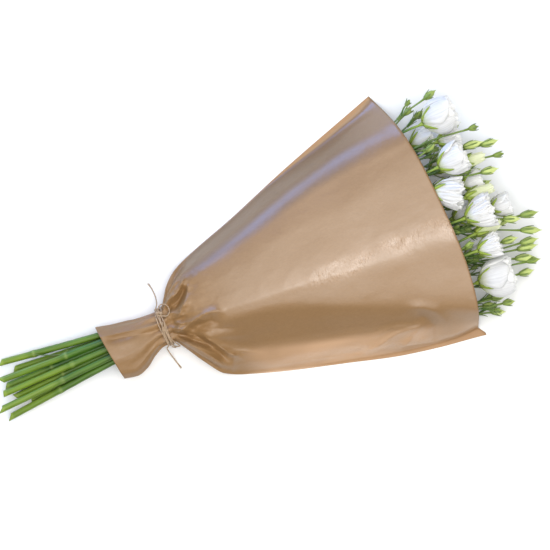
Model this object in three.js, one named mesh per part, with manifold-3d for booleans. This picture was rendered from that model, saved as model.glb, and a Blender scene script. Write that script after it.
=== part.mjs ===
// A tied bouquet of white double lisianthus in a glazed kraft paper sleeve, lying flat.
// Millimetres. X runs along the bouquet from the cut stem ends to the buds, Y across it and Z up.
// Places are written from the tie, which has X = 0 inside the bouquet's own group. The group is
// then moved back by TIE_TO_ORIGIN, so that the origin lies on the table under the paper cone.
import * as THREE from 'three';
import { mergeVertices } from 'three/addons/utils/BufferGeometryUtils.js';
import Module from 'manifold-3d';

const wasm = await Module();
wasm.setup();

// Driving dimensions
const TIE_TO_ORIGIN = 200;
const PAPER_WALL = 1.0;
const PLEATS = 10;
const CONE_LEFT = 347;
const CONE_RIGHT = 361;
const CONE_BULGE = 23;
const COLLAR_LEFT = -82;
const COLLAR_RIGHT = -64;
const TIE_HEIGHT = 22.3;
const STEM_RADIUS = 4.1;
const STEM_PITCH = 8.7;
const STEM_ROW = 7.3;
const TWINE_RADIUS = 0.9;
const TWINE_TURNS = 4;
const TWINE_PITCH = 2.15;
const TWINE_SLACK = 1;
const KNOT_RADIUS = 1.9;
const PETAL_THICKNESS = 0.7;
const PETAL_TWIST = 0.09;
const SECOND_WHORL = 0.68;
const LARGE_BLOOM = 16.5;
const HEART_HEIGHT = 0.74;
const SEAT_RADIUS = 3;
const SEAT_GAP = 0.3;
const FOOT_RADIUS = 2.6;
const CALYX_DEPTH = 5;
const CALYX_LIP = 0.4;
const SEPAL_WIDTH = 2.2;
const SEPAL_THICKNESS = 0.8;
const SEPAL_CLEARANCE = 2.3;
const BRANCH_RADIUS = 1.9;
const BRANCH_TIP_RADIUS = 1.6;
const BUD_STALK_RADIUS = 1.1;
const LEAF_LENGTH = 34;
const LEAF_WIDTH = 12;
const LOW_LEAF_LENGTH = 42;
const LOW_LEAF_WIDTH = 8;
const LEAF_THICKNESS = 0.8;
const LEAF_ANGLE = 0.45;
const FIRST_FORK = 0.01;
const FORK_STEP = 0.035;

const KRAFT = { color: 0xc6a180, roughness: 0.35, metalness: 0 };
const JUTE = { color: 0xa5876a, roughness: 0.9, metalness: 0 };
const GREEN = { color: 0x50822d, roughness: 0.5, metalness: 0 };
const WHITE = { color: 0xf0f0f2, roughness: 0.6, metalness: 0 };
const IVORY = { color: 0xe4e8c4, roughness: 0.6, metalness: 0 };

const vec = (x, y, z) => new THREE.Vector3(x, y, z);
const { lerp, smoothstep, clamp } = THREE.MathUtils;

// A smooth curve y(x) through a few points, level where it would overshoot.
function through(points) {
  const slope = points.map((point, i) => {
    if (i === 0 || i === points.length - 1) return null;
    const before = (point[1] - points[i - 1][1]) / (point[0] - points[i - 1][0]);
    const after = (points[i + 1][1] - point[1]) / (points[i + 1][0] - point[0]);
    return before * after > 0 ? (2 * before * after) / (before + after) : 0;
  });
  return (x) => {
    let i = 0;
    while (i < points.length - 2 && x > points[i + 1][0]) i += 1;
    const [x0, y0] = points[i];
    const [x1, y1] = points[i + 1];
    const width = x1 - x0;
    const s = clamp((x - x0) / width, 0, 1);
    const chord = (y1 - y0) / width;
    const m0 = (slope[i] ?? chord) * width;
    const m1 = (slope[i + 1] ?? chord) * width;
    return (2 * s ** 3 - 3 * s * s + 1) * y0 + (s ** 3 - 2 * s * s + s) * m0
      + (3 * s * s - 2 * s ** 3) * y1 + (s ** 3 - s * s) * m1;
  };
}

function geometryFrom(points, triangles) {
  const geometry = new THREE.BufferGeometry();
  const coordinates = points.flatMap((point) => point.toArray());
  geometry.setAttribute('position', new THREE.Float32BufferAttribute(coordinates, 3));
  geometry.setIndex(triangles.flat());
  return geometry;
}

// A closed skin over rings of points that turn anticlockwise round the way they follow each other.
// A flat end is a fan on its first point; a last ring of one point is a tip. Each side of the last
// band may grow a spike with four corners and a tip, as a sepal does.
function skin(rings, spikes = null) {
  const sides = rings[0].length;
  const points = rings.flat();
  const triangles = [];
  for (let i = 2; i < sides; i += 1) triangles.push([0, i, i - 1]);
  rings.slice(1).forEach((ring, index) => {
    const low = index * sides;
    const high = low + sides;
    for (let i = 0; i < sides; i += 1) {
      const next = (i + 1) % sides;
      if (ring.length === 1) {
        triangles.push([low + i, low + next, high]);
      } else if (spikes && index === rings.length - 2) {
        const first = points.length;
        const foot = [low + i, low + next, high + next, high + i];
        points.push(...spikes[i]);
        foot.forEach((corner, k) => {
          const after = (k + 1) % 4;
          triangles.push([corner, foot[after], first + after], [corner, first + after, first + k]);
          triangles.push([first + k, first + after, first + 4]);
        });
      } else {
        triangles.push([low + i, low + next, high + next], [low + i, high + next, high + i]);
      }
    }
  });
  if (rings.at(-1).length > 1) {
    const last = (rings.length - 1) * sides;
    for (let i = 2; i < sides; i += 1) triangles.push([last, last + i - 1, last + i]);
  }
  return geometryFrom(points, triangles);
}

// The rings of a round stalk along a curve. radiusAt takes the fraction of the way from 0 to 1, and
// cut slants the first end by that many millimetres for each millimetre across.
function stalkRings(route, radiusAt, sides, steps, cut = 0) {
  const isCurve = route instanceof THREE.Curve;
  const curve = isCurve ? route : new THREE.CatmullRomCurve3(route, false, 'centripetal');
  const frames = curve.computeFrenetFrames(steps, false);
  return Array.from({ length: steps + 1 }, (_, i) => {
    const centre = curve.getPointAt(i / steps);
    const radius = radiusAt(i / steps);
    if (radius === 0) return [centre];
    return Array.from({ length: sides }, (__, k) => {
      const angle = (2 * Math.PI * k) / sides;
      const across = frames.normals[i].clone().multiplyScalar(radius * Math.cos(angle))
        .addScaledVector(frames.binormals[i], radius * Math.sin(angle));
      const slant = i === 0 ? cut * across.y : 0;
      return centre.clone().add(across).addScaledVector(frames.tangents[i], slant);
    });
  });
}

function stalk(route, radiusAt, sides, steps, cut) {
  return skin(stalkRings(route, radiusAt, sides, steps, cut));
}

// A thin blade over a grid of columns and rows: surface(u, v) is its middle, u from -1 to 1 across
// and v from 0 to 1 along. Both faces are split into the same triangles.
function blade(columns, rows, thickness, surface) {
  const front = [];
  const back = [];
  const width = columns.length;
  rows.forEach((v) => columns.forEach((u) => {
    const middle = surface(u, v);
    const step = 0.02;
    const alongU = surface(u + step, v).sub(surface(u - step, v));
    const alongV = surface(u, v + step).sub(surface(u, v - step));
    const half = alongU.cross(alongV).normalize().multiplyScalar(thickness / 2);
    front.push(middle.clone().add(half));
    back.push(middle.clone().sub(half));
  }));
  const shift = front.length;
  const triangles = [];
  for (let row = 0; row + 1 < rows.length; row += 1) {
    for (let column = 0; column + 1 < width; column += 1) {
      const a = row * width + column;
      const b = a + 1;
      const c = a + width + 1;
      const d = a + width;
      triangles.push([a, b, c], [a, c, d]);
      triangles.push([shift + a, shift + c, shift + b], [shift + a, shift + d, shift + c]);
    }
  }
  const rim = [];
  for (let column = 0; column < width; column += 1) rim.push(column);
  for (let row = 1; row < rows.length; row += 1) rim.push(row * width + width - 1);
  for (let column = width - 2; column >= 0; column -= 1) rim.push((rows.length - 1) * width + column);
  for (let row = rows.length - 2; row > 0; row -= 1) rim.push(row * width);
  rim.forEach((a, i) => {
    const b = rim[(i + 1) % rim.length];
    triangles.push([a, shift + a, b], [b, shift + a, shift + b]);
  });
  return geometryFrom([...front, ...back], triangles);
}

// Joining
function solid(geometry) {
  const bare = geometry.clone();
  bare.deleteAttribute('normal');
  bare.deleteAttribute('uv');
  const merged = mergeVertices(bare, 1e-4);
  const solidMesh = new wasm.Mesh({
    numProp: 3,
    vertProperties: new Float32Array(merged.attributes.position.array),
    triVerts: new Uint32Array(merged.index.array),
  });
  return new wasm.Manifold(solidMesh);
}

function fuse(geometries) {
  const joined = geometries.map(solid).reduce((sum, next) => sum.add(next)).getMesh();
  const geometry = new THREE.BufferGeometry();
  geometry.setAttribute('position', new THREE.BufferAttribute(joined.vertProperties, 3));
  geometry.setIndex(new THREE.BufferAttribute(joined.triVerts, 1));
  return geometry;
}

function named(name, geometry, finish) {
  const mesh = new THREE.Mesh(geometry, new THREE.MeshStandardMaterial(finish));
  mesh.name = name;
  return mesh;
}

// Kraft paper sleeve: one sheet rolled round the stems, flat on the table, arched over the
// blooms, gathered in pleats under the tie and flared again to a short collar.
// The place along the sleeve is f: -1 at the collar's mouth, 0 at the tie, 1 at the cone's mouth.
// The place across it is t: 0 at the left edge and 1 at the right edge.
// The two side edges in plan, as y at each x.
const leftEdge = through([
  [COLLAR_LEFT, 30], [-40, 26], [-8, 24], [6, 24], [12, 32], [20, 43],
  [35, 57], [52, 66], [131, 94], [210, 124], [CONE_LEFT, 171],
]);
const rightEdge = through([
  [COLLAR_RIGHT, -47], [-36, -36], [-8, -25], [6, -25], [12, -33], [31, -63],
  [48, -85], [89, -102], [199, -132], [267, -149], [CONE_RIGHT, -164],
]);
// Heights of its top and its underside, and half the depth of its pleats, at each f.
const topAt = through([
  [-1, 50], [-0.5, 45], [-0.1, 41.6], [0, 41.4], [0.018, 41.4], [0.035, 44],
  [0.06, 51], [0.1, 60], [0.2, 72], [0.4, 83], [1, 96],
]);
const bottomAt = through([
  [-1, 1], [-0.5, 1.8], [-0.08, 3.2], [0.018, 3.2], [0.05, 1.8], [0.14, 0], [1, 0],
]);
const pleatAt = through([
  [-1, 0.6], [-0.5, 1.5], [-0.15, 1.8], [-0.08, 2], [0.018, 2], [0.04, 3],
  [0.08, 3.6], [0.15, 2.6], [0.26, 0],
]);
// How much of the width is pressed flat along each side.
const leftFlange = through([[0, 0], [0.6, 0.003], [1, 0.06]]);
const rightFlange = through([[0, 0], [0.25, 0.015], [1, 0.06]]);
const DOME_SKEW = 1.12;
const DOME_FULLNESS = 0.42;
const EDGE_ANGLE = 0.05;
const ROUND_UNTIL = 0.04;
const ARCHED_FROM = 0.22;

function domeHeight(f, t) {
  const left = leftFlange(f);
  const q = clamp((t - left) / (1 - left - rightFlange(f)), 0, 1);
  return Math.sin(Math.PI * q ** DOME_SKEW) ** DOME_FULLNESS;
}

function sleevePoint(f, t, upper, depth) {
  const reach = Math.abs(f);
  const xLeft = reach * (f < 0 ? COLLAR_LEFT : CONE_LEFT);
  const xRight = reach * (f < 0 ? COLLAR_RIGHT : CONE_RIGHT);
  const left = leftEdge(xLeft);
  const right = rightEdge(xRight);
  const angle = EDGE_ANGLE + (Math.PI - 2 * EDGE_ANGLE) * t;
  const side = upper ? 1 : -1;
  const middle = (left + right) / 2;
  const halfWidth = (left - right) / 2;
  const halfHeight = (topAt(f) - bottomAt(f)) / 2;
  const pleat = pleatAt(f) * (1 - Math.cos(PLEATS * Math.PI * t));
  const roundY = middle + (halfWidth - pleat - depth) * Math.cos(angle);
  const roundZ = bottomAt(f) + halfHeight + side * (halfHeight - pleat - depth) * Math.sin(angle);

  const margin = depth > 0 ? 0.012 : 0;
  const across = (1 - Math.cos(Math.PI * t)) / 2;
  const from = depth > 0 ? leftFlange(f) + margin : 0;
  const to = depth > 0 ? 1 - rightFlange(f) - margin : 1;
  const place = lerp(from, to, across);
  const archY = lerp(left, right, place);
  let archZ = depth;
  if (upper) {
    const rise = topAt(f) - 2 * PAPER_WALL;
    const step = 0.004;
    const climb = domeHeight(f, place + step) - domeHeight(f, place - step);
    const slope = (rise * climb) / (2 * step * (left - right));
    archZ = 2 * PAPER_WALL + rise * domeHeight(f, place) - depth * Math.hypot(1, slope);
    archZ = Math.max(archZ, depth + 0.2);
  }
  const arched = smoothstep(f, ROUND_UNTIL, ARCHED_FROM);
  const bulge = CONE_BULGE * smoothstep(f, 0, 1) * (1 - Math.abs(2 * place - 1) ** 3);
  const x = lerp(xLeft, xRight, place) + bulge;
  return vec(x, lerp(roundY, archY, arched), lerp(roundZ, archZ, arched));
}

function sleeve() {
  const upperSteps = 20;
  const lowerSteps = 10;
  const stations = [
    -1, -0.78, -0.5, -0.26, -0.08, 0.018, 0.036, 0.06, 0.095, 0.14,
    0.19, 0.26, 0.35, 0.46, 0.58, 0.7, 0.8, 0.9, 1,
  ];
  const ring = (f, depth) => {
    const points = [];
    for (let k = 0; k <= upperSteps; k += 1) points.push(sleevePoint(f, k / upperSteps, true, depth));
    for (let k = lowerSteps; k >= 0; k -= 1) points.push(sleevePoint(f, k / lowerSteps, false, depth));
    return points;
  };
  const outer = stations.map((f) => ring(f, 0));
  const inner = stations.map((f) => ring(f, PAPER_WALL));
  const count = outer[0].length;
  const points = [...outer.flat(), ...inner.flat()];
  const innerStart = outer.length * count;
  const triangles = [];
  const quad = (a, b, c, d) => triangles.push([a, b, c], [a, c, d]);
  for (let i = 0; i < count; i += 1) {
    const next = (i + 1) % count;
    for (let s = 0; s + 1 < stations.length; s += 1) {
      const low = s * count;
      const high = low + count;
      quad(low + i, low + next, high + next, high + i);
      quad(innerStart + low + next, innerStart + low + i, innerStart + high + i, innerStart + high + next);
    }
    const end = (stations.length - 1) * count;
    quad(i, innerStart + i, innerStart + next, next);
    quad(end + i, end + next, innerStart + end + next, innerStart + end + i);
  }
  return geometryFrom(points, triangles);
}

// Jute twine: one length wound four times round the neck and knotted on top, with a loop
// and two short ends that drop to the table.
function twine() {
  const halfWidth = (leftEdge(0) - rightEdge(0)) / 2 + TWINE_RADIUS + TWINE_SLACK;
  const halfHeight = (topAt(0) - bottomAt(0)) / 2 + TWINE_RADIUS + TWINE_SLACK;
  const middle = (leftEdge(0) + rightEdge(0)) / 2;
  const centre = (topAt(0) + bottomAt(0)) / 2;
  const start = 0.3 * Math.PI;
  class Winding extends THREE.Curve {
    getPoint(t, target = new THREE.Vector3()) {
      const angle = start + 2 * Math.PI * TWINE_TURNS * t;
      const x = (t - 0.5) * TWINE_TURNS * TWINE_PITCH - 0.5;
      return target.set(x, middle + halfWidth * Math.cos(angle), centre + halfHeight * Math.sin(angle));
    }
  }
  const even = () => TWINE_RADIUS;
  const knotY = middle + halfWidth * Math.cos(start);
  const knotZ = centre + halfHeight * Math.sin(start) + 1.6;
  const pieces = [stalk(new Winding(), even, 5, 13 * TWINE_TURNS)];
  const knot = [
    vec(-5, knotY + 1, knotZ - 1), vec(-2, knotY + 2.4, knotZ + 0.6),
    vec(1.5, knotY + 0.5, knotZ + 1), vec(4.4, knotY - 1, knotZ - 0.8),
  ];
  pieces.push(stalk(knot, () => KNOT_RADIUS, 6, 3));
  const loop = [
    vec(0, knotY, knotZ), vec(4, knotY + 6, knotZ), vec(10, knotY + 7, knotZ - 1.5),
    vec(13, knotY + 1, knotZ + 2), vec(9, knotY - 4, knotZ + 2.5), vec(1, knotY - 0.5, knotZ),
  ];
  pieces.push(stalk(loop, even, 5, 10));
  const upperEnd = [
    vec(-1, knotY, knotZ), vec(-3, knotY + 7, knotZ - 2.5), vec(-2, 31, 24),
    vec(0, 40, 12), vec(1, 48, 4.6), vec(1, 56, TWINE_RADIUS + 0.9),
  ];
  pieces.push(stalk(upperEnd, even, 5, 7));
  const lowerEnd = [
    vec(-4.6, middle - halfWidth, centre + 2), vec(-7, -30, 15), vec(-6, -36, 7),
    vec(-4, -45, 2.8), vec(-1, -59, TWINE_RADIUS + 0.4),
  ];
  pieces.push(stalk(lowerEnd, even, 5, 7));
  return fuse(pieces);
}

// Blooms and calyces share one cup: the radius and height of a petal's middle line, v of the way
// up. It is widest at four fifths of the way, and a half-open bloom draws in again to its rim.
function cup(v, { radius, length, open }) {
  const closing = 1 - (1 - open) * v ** 3;
  const out = SEAT_RADIUS + (radius - SEAT_RADIUS) * Math.sin(2 * v) * closing;
  return [out + 0.05 * open * radius * v ** 4, 1 + (length - 1) * (0.32 * v + 0.68 * v * v)];
}

// Five petals in a whorl, each with one edge over and one edge under its neighbours'. The wall turns
// back on itself between two petals where they overlap. A large bloom's petals have five columns
// across them and a small one's three.
function whorlPoint(column, v, flower, angle) {
  const { across } = flower;
  const u = (2 * (column % across)) / (across - 1) - 1;
  const [out, up] = cup(v, flower);
  const half = (Math.PI / 5) * (0.97 + 0.2 * smoothstep(v, 0.45, 1));
  const turned = angle + (2 * Math.PI * Math.floor(column / across)) / 5 + u * half;
  const reach = out + PETAL_TWIST * flower.radius * u * smoothstep(v, 0, 0.7);
  return vec(reach * Math.cos(turned), reach * Math.sin(turned), up * (1 - 0.22 * u * u * v * v));
}

// One ring of a whorl's outer or inner face, half a petal's thickness off its middle.
function whorlRing(v, flower, angle, face) {
  const columns = 5 * flower.across;
  return Array.from({ length: columns }, (_, column) => {
    const at = (shift, dv = 0) => whorlPoint((column + shift + columns) % columns, v + dv, flower, angle);
    const rise = at(0, 0.02).sub(at(0, -0.02));
    const before = at(0).sub(at(-1)).cross(rise).normalize();
    const after = at(1).sub(at(0)).cross(rise).normalize();
    return at(0).addScaledVector(before.add(after).normalize(), (face * PETAL_THICKNESS) / 2);
  });
}

// A bloom is one closed surface: up the outside of each whorl, over its rim and down inside it,
// then up the next whorl, and to the heart's tip.
function bloom(plan) {
  const { centre, direction, radius, length, spin, layers } = plan;
  const large = radius > LARGE_BLOOM;
  const across = large ? 5 : 3;
  const foot = Array.from({ length: 5 * across }, (_, k) => {
    const u = (2 * (k % across)) / (across - 1) - 1;
    const angle = spin + (2 * Math.PI * (Math.floor(k / across) + 0.48 * u)) / 5;
    return vec(FOOT_RADIUS * Math.cos(angle), FOOT_RADIUS * Math.sin(angle), SEAT_GAP);
  });
  const outerUp = large ? [0, 0.38, 0.72, 1] : [0, 0.5, 1];
  const outerDown = large ? [1, 0.7, 0.42] : [1, 0.5];
  const innerUp = large ? [0.42, 0.72, 1] : [0.42, 1];
  const innerDown = large ? [1, 0.7] : [1, 0.5];
  const rings = [foot];
  for (let layer = 0; layer < layers; layer += 1) {
    const shape = {
      ...plan, across, radius: radius * SECOND_WHORL ** layer, length: length * (1 + 0.03 * layer),
    };
    const angle = spin + (Math.PI / 5) * layer;
    const up = layer === 0 ? outerUp : innerUp;
    const down = layer === 0 ? outerDown : innerDown;
    up.forEach((v) => rings.push(whorlRing(v, shape, angle, 1)));
    down.forEach((v) => rings.push(whorlRing(v, shape, angle, -1)));
  }
  rings.push([vec(0, 0, HEART_HEIGHT * length)]);
  const aim = vec(...direction).normalize();
  const turn = new THREE.Quaternion().setFromUnitVectors(vec(0, 0, 1), aim);
  const base = vec(...centre).addScaledVector(aim, -length / 2);
  return skin(rings).applyQuaternion(turn).translate(base.x, base.y, base.z);
}

// A stalk that ends in a cup with five narrow sepals, which stand round the bloom clear of it.
function bloomStalk(start, flower) {
  const aim = vec(...flower.direction).normalize();
  const base = vec(...flower.centre).addScaledVector(aim, -flower.length / 2);
  const neck = base.clone().addScaledVector(aim, -CALYX_DEPTH);
  const bend = neck.clone().addScaledVector(aim, -0.3 * neck.distanceTo(start));
  const route = new THREE.CatmullRomCurve3([start, bend, neck, base], false, 'centripetal');
  const rings = stalkRings(route, (s) => lerp(BRANCH_RADIUS, BRANCH_TIP_RADIUS, s), 5, 4);
  const frame = rings.at(-1).map((point) => point.clone().sub(base).normalize());
  rings[rings.length - 1] = frame.map((spoke) => neck.clone().addScaledVector(spoke, BRANCH_TIP_RADIUS));
  rings.push(frame.map((spoke) => base.clone().addScaledVector(spoke, SEAT_RADIUS + CALYX_LIP)));
  const spikes = frame.map((spoke, k) => {
    const middle = spoke.clone().add(frame[(k + 1) % 5]).normalize();
    const along = aim.clone().cross(middle);
    const [out, up] = cup(0.22, flower);
    const [tipOut, tipUp] = cup(0.52, flower);
    const waist = base.clone().addScaledVector(middle, out + SEPAL_CLEARANCE).addScaledVector(aim, up - 1);
    const tip = base.clone().addScaledVector(middle, tipOut + 4).addScaledVector(aim, tipUp);
    const outward = middle.clone().sub(aim).multiplyScalar(SEPAL_THICKNESS / 2);
    const corner = (side, face) => waist.clone().addScaledVector(along, (side * SEPAL_WIDTH) / 2)
      .addScaledVector(outward, face);
    return [corner(-1, 1), corner(1, 1), corner(1, -1), corner(-1, -1), tip];
  });
  return skin(rings, spikes);
}

// A thin stalk that swells into a plump bud with a drawn-out tip.
function budStalk(start, { base, tip, radius }) {
  const seat = vec(...base);
  const end = vec(...tip);
  const aim = end.clone().sub(seat).normalize();
  const bend = seat.clone().addScaledVector(aim, -0.3 * seat.distanceTo(start));
  const rings = stalkRings([start, bend, seat], () => BUD_STALK_RADIUS, 5, 3);
  const spokes = rings.at(-1).map((point) => point.clone().sub(seat).projectOnPlane(aim).normalize());
  [0.85, 1, 0.6].forEach((plumpness, i) => {
    const centre = seat.clone().lerp(end, (i + 1) / 4);
    rings.push(spokes.map((spoke) => centre.clone().addScaledVector(spoke, radius * plumpness)));
  });
  rings.push([end]);
  return skin(rings);
}

// A leaf clasps the stem by its foot and stands off it. along and aside are unit vectors, one the
// way the leaf points and the other out to the leaf's side.
function leaf(foot, along, aside, length, width) {
  const face = along.clone().cross(aside).normalize();
  const surface = (u, v) => {
    const taper = Math.sin(Math.PI * clamp(v, 0, 1) ** 0.8) * (1 - 0.15 * v);
    const half = 0.8 + (width / 2) * taper;
    const lift = 0.22 * half * Math.abs(u) + 0.1 * length * v * v;
    return foot.clone().addScaledVector(along, length * v * Math.cos(LEAF_ANGLE))
      .addScaledVector(aside, length * v * Math.sin(LEAF_ANGLE) + lift)
      .addScaledVector(face, u * half);
  };
  return blade([-1, 0, 1], [0, 0.3, 0.65, 1], LEAF_THICKNESS, surface);
}

// A stem's place in the tied bundle, as its y and z at the tie.
const slot = (column, row) => [column * STEM_PITCH, TIE_HEIGHT + row * STEM_ROW];

// Blooms by their middle, the way they face, their radius at the rim, their length and their turn
// about themselves. Buds by their base, their tip and their greatest radius.
const double = (name, centre, direction, radius, length, spin) => (
  { name, centre, direction, radius, length, spin, layers: 2, open: 1 });
const halfOpen = (name, centre, direction, radius, length, spin) => (
  { name, centre, direction, radius, length, spin, layers: 1, open: 0.3 });
const bud = (base, tip, radius) => ({ base, tip, radius });

// Each stem: its place in the tied bundle, its cut end, the x of its node and the slant of its cut,
// where it forks, its blooms and its buds.
const STEMS = [
  {
    name: 'stem_01', slot: slot(1.5, 0), end: [-209, 33, 9], node: -166, cut: 0.9, fork: [300, 98, 38],
    blooms: [
      double('bloom_01', [387, 94, 25.5], [1, 0.05, 0.05], 13, 30, 0.4),
    ],
    buds: [
      bud([378, 131, 34], [391, 137, 35], 3.6),
      bud([392, 122, 22], [407, 127, 22], 3.2),
    ],
  },
  {
    name: 'stem_02', slot: slot(1, 1), end: [-216, 12, 18], node: -130, cut: -0.8, fork: [296, 82, 60],
    lowLeaf: [-130, 12, 25],
    blooms: [
      double('bloom_02', [415, 113, 63], [1, 0.06, 0.18], 22.5, 42, 0.2),
      double('bloom_15', [418, 83, 44], [1, -0.08, 0.1], 12.5, 28, 0.5),
    ],
    buds: [
      bud([408, 140, 44], [426, 145, 45], 3.8),
      bud([444, 84, 62], [457, 83, 62], 3.4),
      bud([430, 66, 46], [457, 63, 46], 4.4),
    ],
  },
  {
    name: 'stem_03', slot: slot(0.5, 0), end: [-213, 3, 8.5], node: -150, cut: 0.7, fork: [300, 42, 42],
    blooms: [
      double('bloom_03', [425, 22, 40], [1, 0, 0.05], 13, 26, 0.9),
      halfOpen('bloom_16', [436, 47, 50], [1, -0.05, 0], 8, 30, 0.2),
    ],
    buds: [
      bud([452, 60, 40], [476, 58, 40], 4),
      bud([462, 42, 38], [476, 40, 37], 3),
      bud([438, 28, 60], [461, 25, 60], 4.2),
    ],
  },
  {
    name: 'stem_04', slot: slot(0, 1), end: [-219, -5, 18], node: -125, cut: 0.3, fork: [296, 28, 70],
    blooms: [
      double('bloom_04', [409, 56, 77], [1, 0.1, 0.15], 19.5, 36, 0.5),
      double('bloom_05', [389, 21, 74], [0.9, -0.4, 0.08], 16, 38, 0.1),
    ],
    buds: [
      bud([384, 78, 78], [398, 82, 79], 3.4),
    ],
  },
  {
    name: 'stem_05', slot: slot(-0.5, 0), end: [-207, -14, 9.5], node: -140, cut: -0.6,
    fork: [300, -20, 44],
    blooms: [
      double('bloom_07', [446, -19, 48], [1, 0, 0.1], 13, 26, 0.7),
      halfOpen('bloom_06', [428, 6, 60], [1, 0, 0.05], 8.5, 36, 0.3),
    ],
    buds: [
      bud([464, -40, 46], [488, -44, 46], 4),
      bud([458, -57, 44], [484, -67, 43], 4.2),
      bud([452, -72, 38], [476, -75, 38], 4),
    ],
  },
  {
    name: 'stem_06', slot: slot(-1, 1), end: [-229, -22, 18], node: -144, cut: 1.4, fork: [296, -38, 70],
    blooms: [
      double('bloom_08', [416, -17, 77], [1, 0, 0.12], 17.5, 35, 0.8),
      halfOpen('bloom_09', [421, -39, 56], [1, 0.05, -0.05], 8.5, 33, 0.6),
      double('bloom_10', [412, -61, 71], [1, -0.05, 0.1], 12.5, 28, 0.2),
    ],
    buds: [
      bud([384, -50, 80], [397, -49, 81], 3.4),
      bud([430, -62, 50], [452, -64, 50], 4),
      bud([442, -36, 54], [464, -44, 54], 4.2),
    ],
  },
  {
    name: 'stem_07', slot: slot(-1.5, 0), end: [-223, -35, 9], node: -152, cut: 1.1, fork: [300, -88, 40],
    blooms: [
      double('bloom_11', [407, -100, 50], [1, -0.1, 0.12], 24, 44, 0.1),
    ],
    buds: [
      bud([446, -78, 32], [473, -82, 31], 4.2),
      bud([440, -88, 22], [466, -96, 21], 4.4),
      bud([404, -134, 32], [420, -137, 32], 3.6),
    ],
  },
  {
    name: 'stem_08', slot: slot(-1, -1), end: [-190, -25, 5], node: -120, cut: 0.5, fork: [300, -84, 16],
    blooms: [
      double('bloom_12', [394, -66, 14], [1, 0, 0.03], 11.5, 28, 0.3),
    ],
    buds: [
      bud([380, -128, 14], [398, -133, 14], 3.8),
      bud([388, -140, 7], [406, -146, 7], 3.4),
      bud([438, -108, 14], [458, -110, 15], 4),
      bud([452, -97, 24], [470, -100, 24], 3),
      bud([394, -124, 20], [412, -127, 20], 3.2),
    ],
  },
  {
    name: 'stem_09', slot: slot(0, -1), end: [-200, -5, 4.8], node: -135, cut: -0.5, fork: [300, -10, 17],
    blooms: [
      double('bloom_13', [402, -12, 24], [1, 0, 0.05], 16, 30, 0.6),
    ],
    buds: [
      bud([428, 12, 16], [450, 15, 16], 4),
      bud([430, -36, 22], [452, -42, 20], 4),
    ],
  },
  {
    name: 'stem_10', slot: slot(1, -1), end: [-196, 19, 5], node: -126, cut: 0.6, fork: [300, 56, 17],
    blooms: [
      double('bloom_14', [398, 56, 21], [1, 0.05, 0.05], 16, 30, 0),
    ],
    buds: [
      bud([420, 92, 12], [442, 97, 12], 4),
      bud([424, 34, 10], [444, 33, 10], 3.6),
    ],
  },
];

// A lisianthus stem: a straight stalk cut on the slant, swollen at its nodes, with clasping
// leaves, forked near the top into thin stalks that end in blooms and buds.
function stem({ slot: [y, z], end, node, cut, fork, blooms, buds, lowLeaf }) {
  const tied = [vec(-12, y, z), vec(0, y, z), vec(12, y, z)];
  const top = vec(...fork);
  const mouth = vec(-86, lerp(y, end[1], 0.3), lerp(z, end[2], 0.1));
  const halfway = tied[2].clone().lerp(top, 0.5);
  const route = new THREE.CatmullRomCurve3([vec(...end), mouth, ...tied, halfway, top]);
  const total = fork[0] - end[0];
  const nodeAt = (node - end[0]) / total;
  const tieAt = -end[0] / total;
  const thickness = (s) => {
    const slim = STEM_RADIUS * (1 - 0.42 * smoothstep(s, tieAt, 1));
    return slim * (1 + 0.22 * Math.exp(-(((s - nodeAt) / 0.012) ** 2)));
  };
  const pieces = [stalk(route, thickness, 6, 12, cut)];
  const branchFrom = (order) => top.clone().lerp(tied[2], FIRST_FORK + FORK_STEP * order);
  blooms.forEach((flower, order) => {
    pieces.push(bloomStalk(branchFrom(order), flower));
  });
  buds.forEach((tipped, order) => {
    pieces.push(budStalk(branchFrom(blooms.length + order), tipped));
  });
  const foot = tied[2].clone().lerp(top, 0.6);
  const along = top.clone().sub(tied[2]).normalize();
  [1, -1].forEach((way) => {
    pieces.push(leaf(foot, along, vec(0, way, 0.1).normalize(), LEAF_LENGTH, LEAF_WIDTH));
  });
  if (lowLeaf) {
    const back = vec(-1, -0.2, -0.1).normalize();
    pieces.push(leaf(vec(...lowLeaf), back, vec(0, 1, 0), LOW_LEAF_LENGTH, LOW_LEAF_WIDTH));
  }
  return fuse(pieces);
}

const bouquet = new THREE.Group();
bouquet.position.x = -TIE_TO_ORIGIN;
bouquet.add(named('kraft_wrap', sleeve(), KRAFT));
bouquet.add(named('jute_twine', twine(), JUTE));
STEMS.forEach((plan) => {
  bouquet.add(named(plan.name, stem(plan), GREEN));
  plan.blooms.forEach((flower) => {
    bouquet.add(named(flower.name, bloom(flower), flower.layers > 1 ? WHITE : IVORY));
  });
});
const part = new THREE.Group();
part.add(bouquet);

export default part;
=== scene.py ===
# A hand-tied bouquet of white double lisianthus in a cone of glazed kraft paper, lying flat.
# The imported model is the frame: X runs along the bouquet to the blooms and Z is up, in metres.
import math
import random

import bmesh
import bpy
from mathutils import Matrix, Vector, noise


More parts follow.
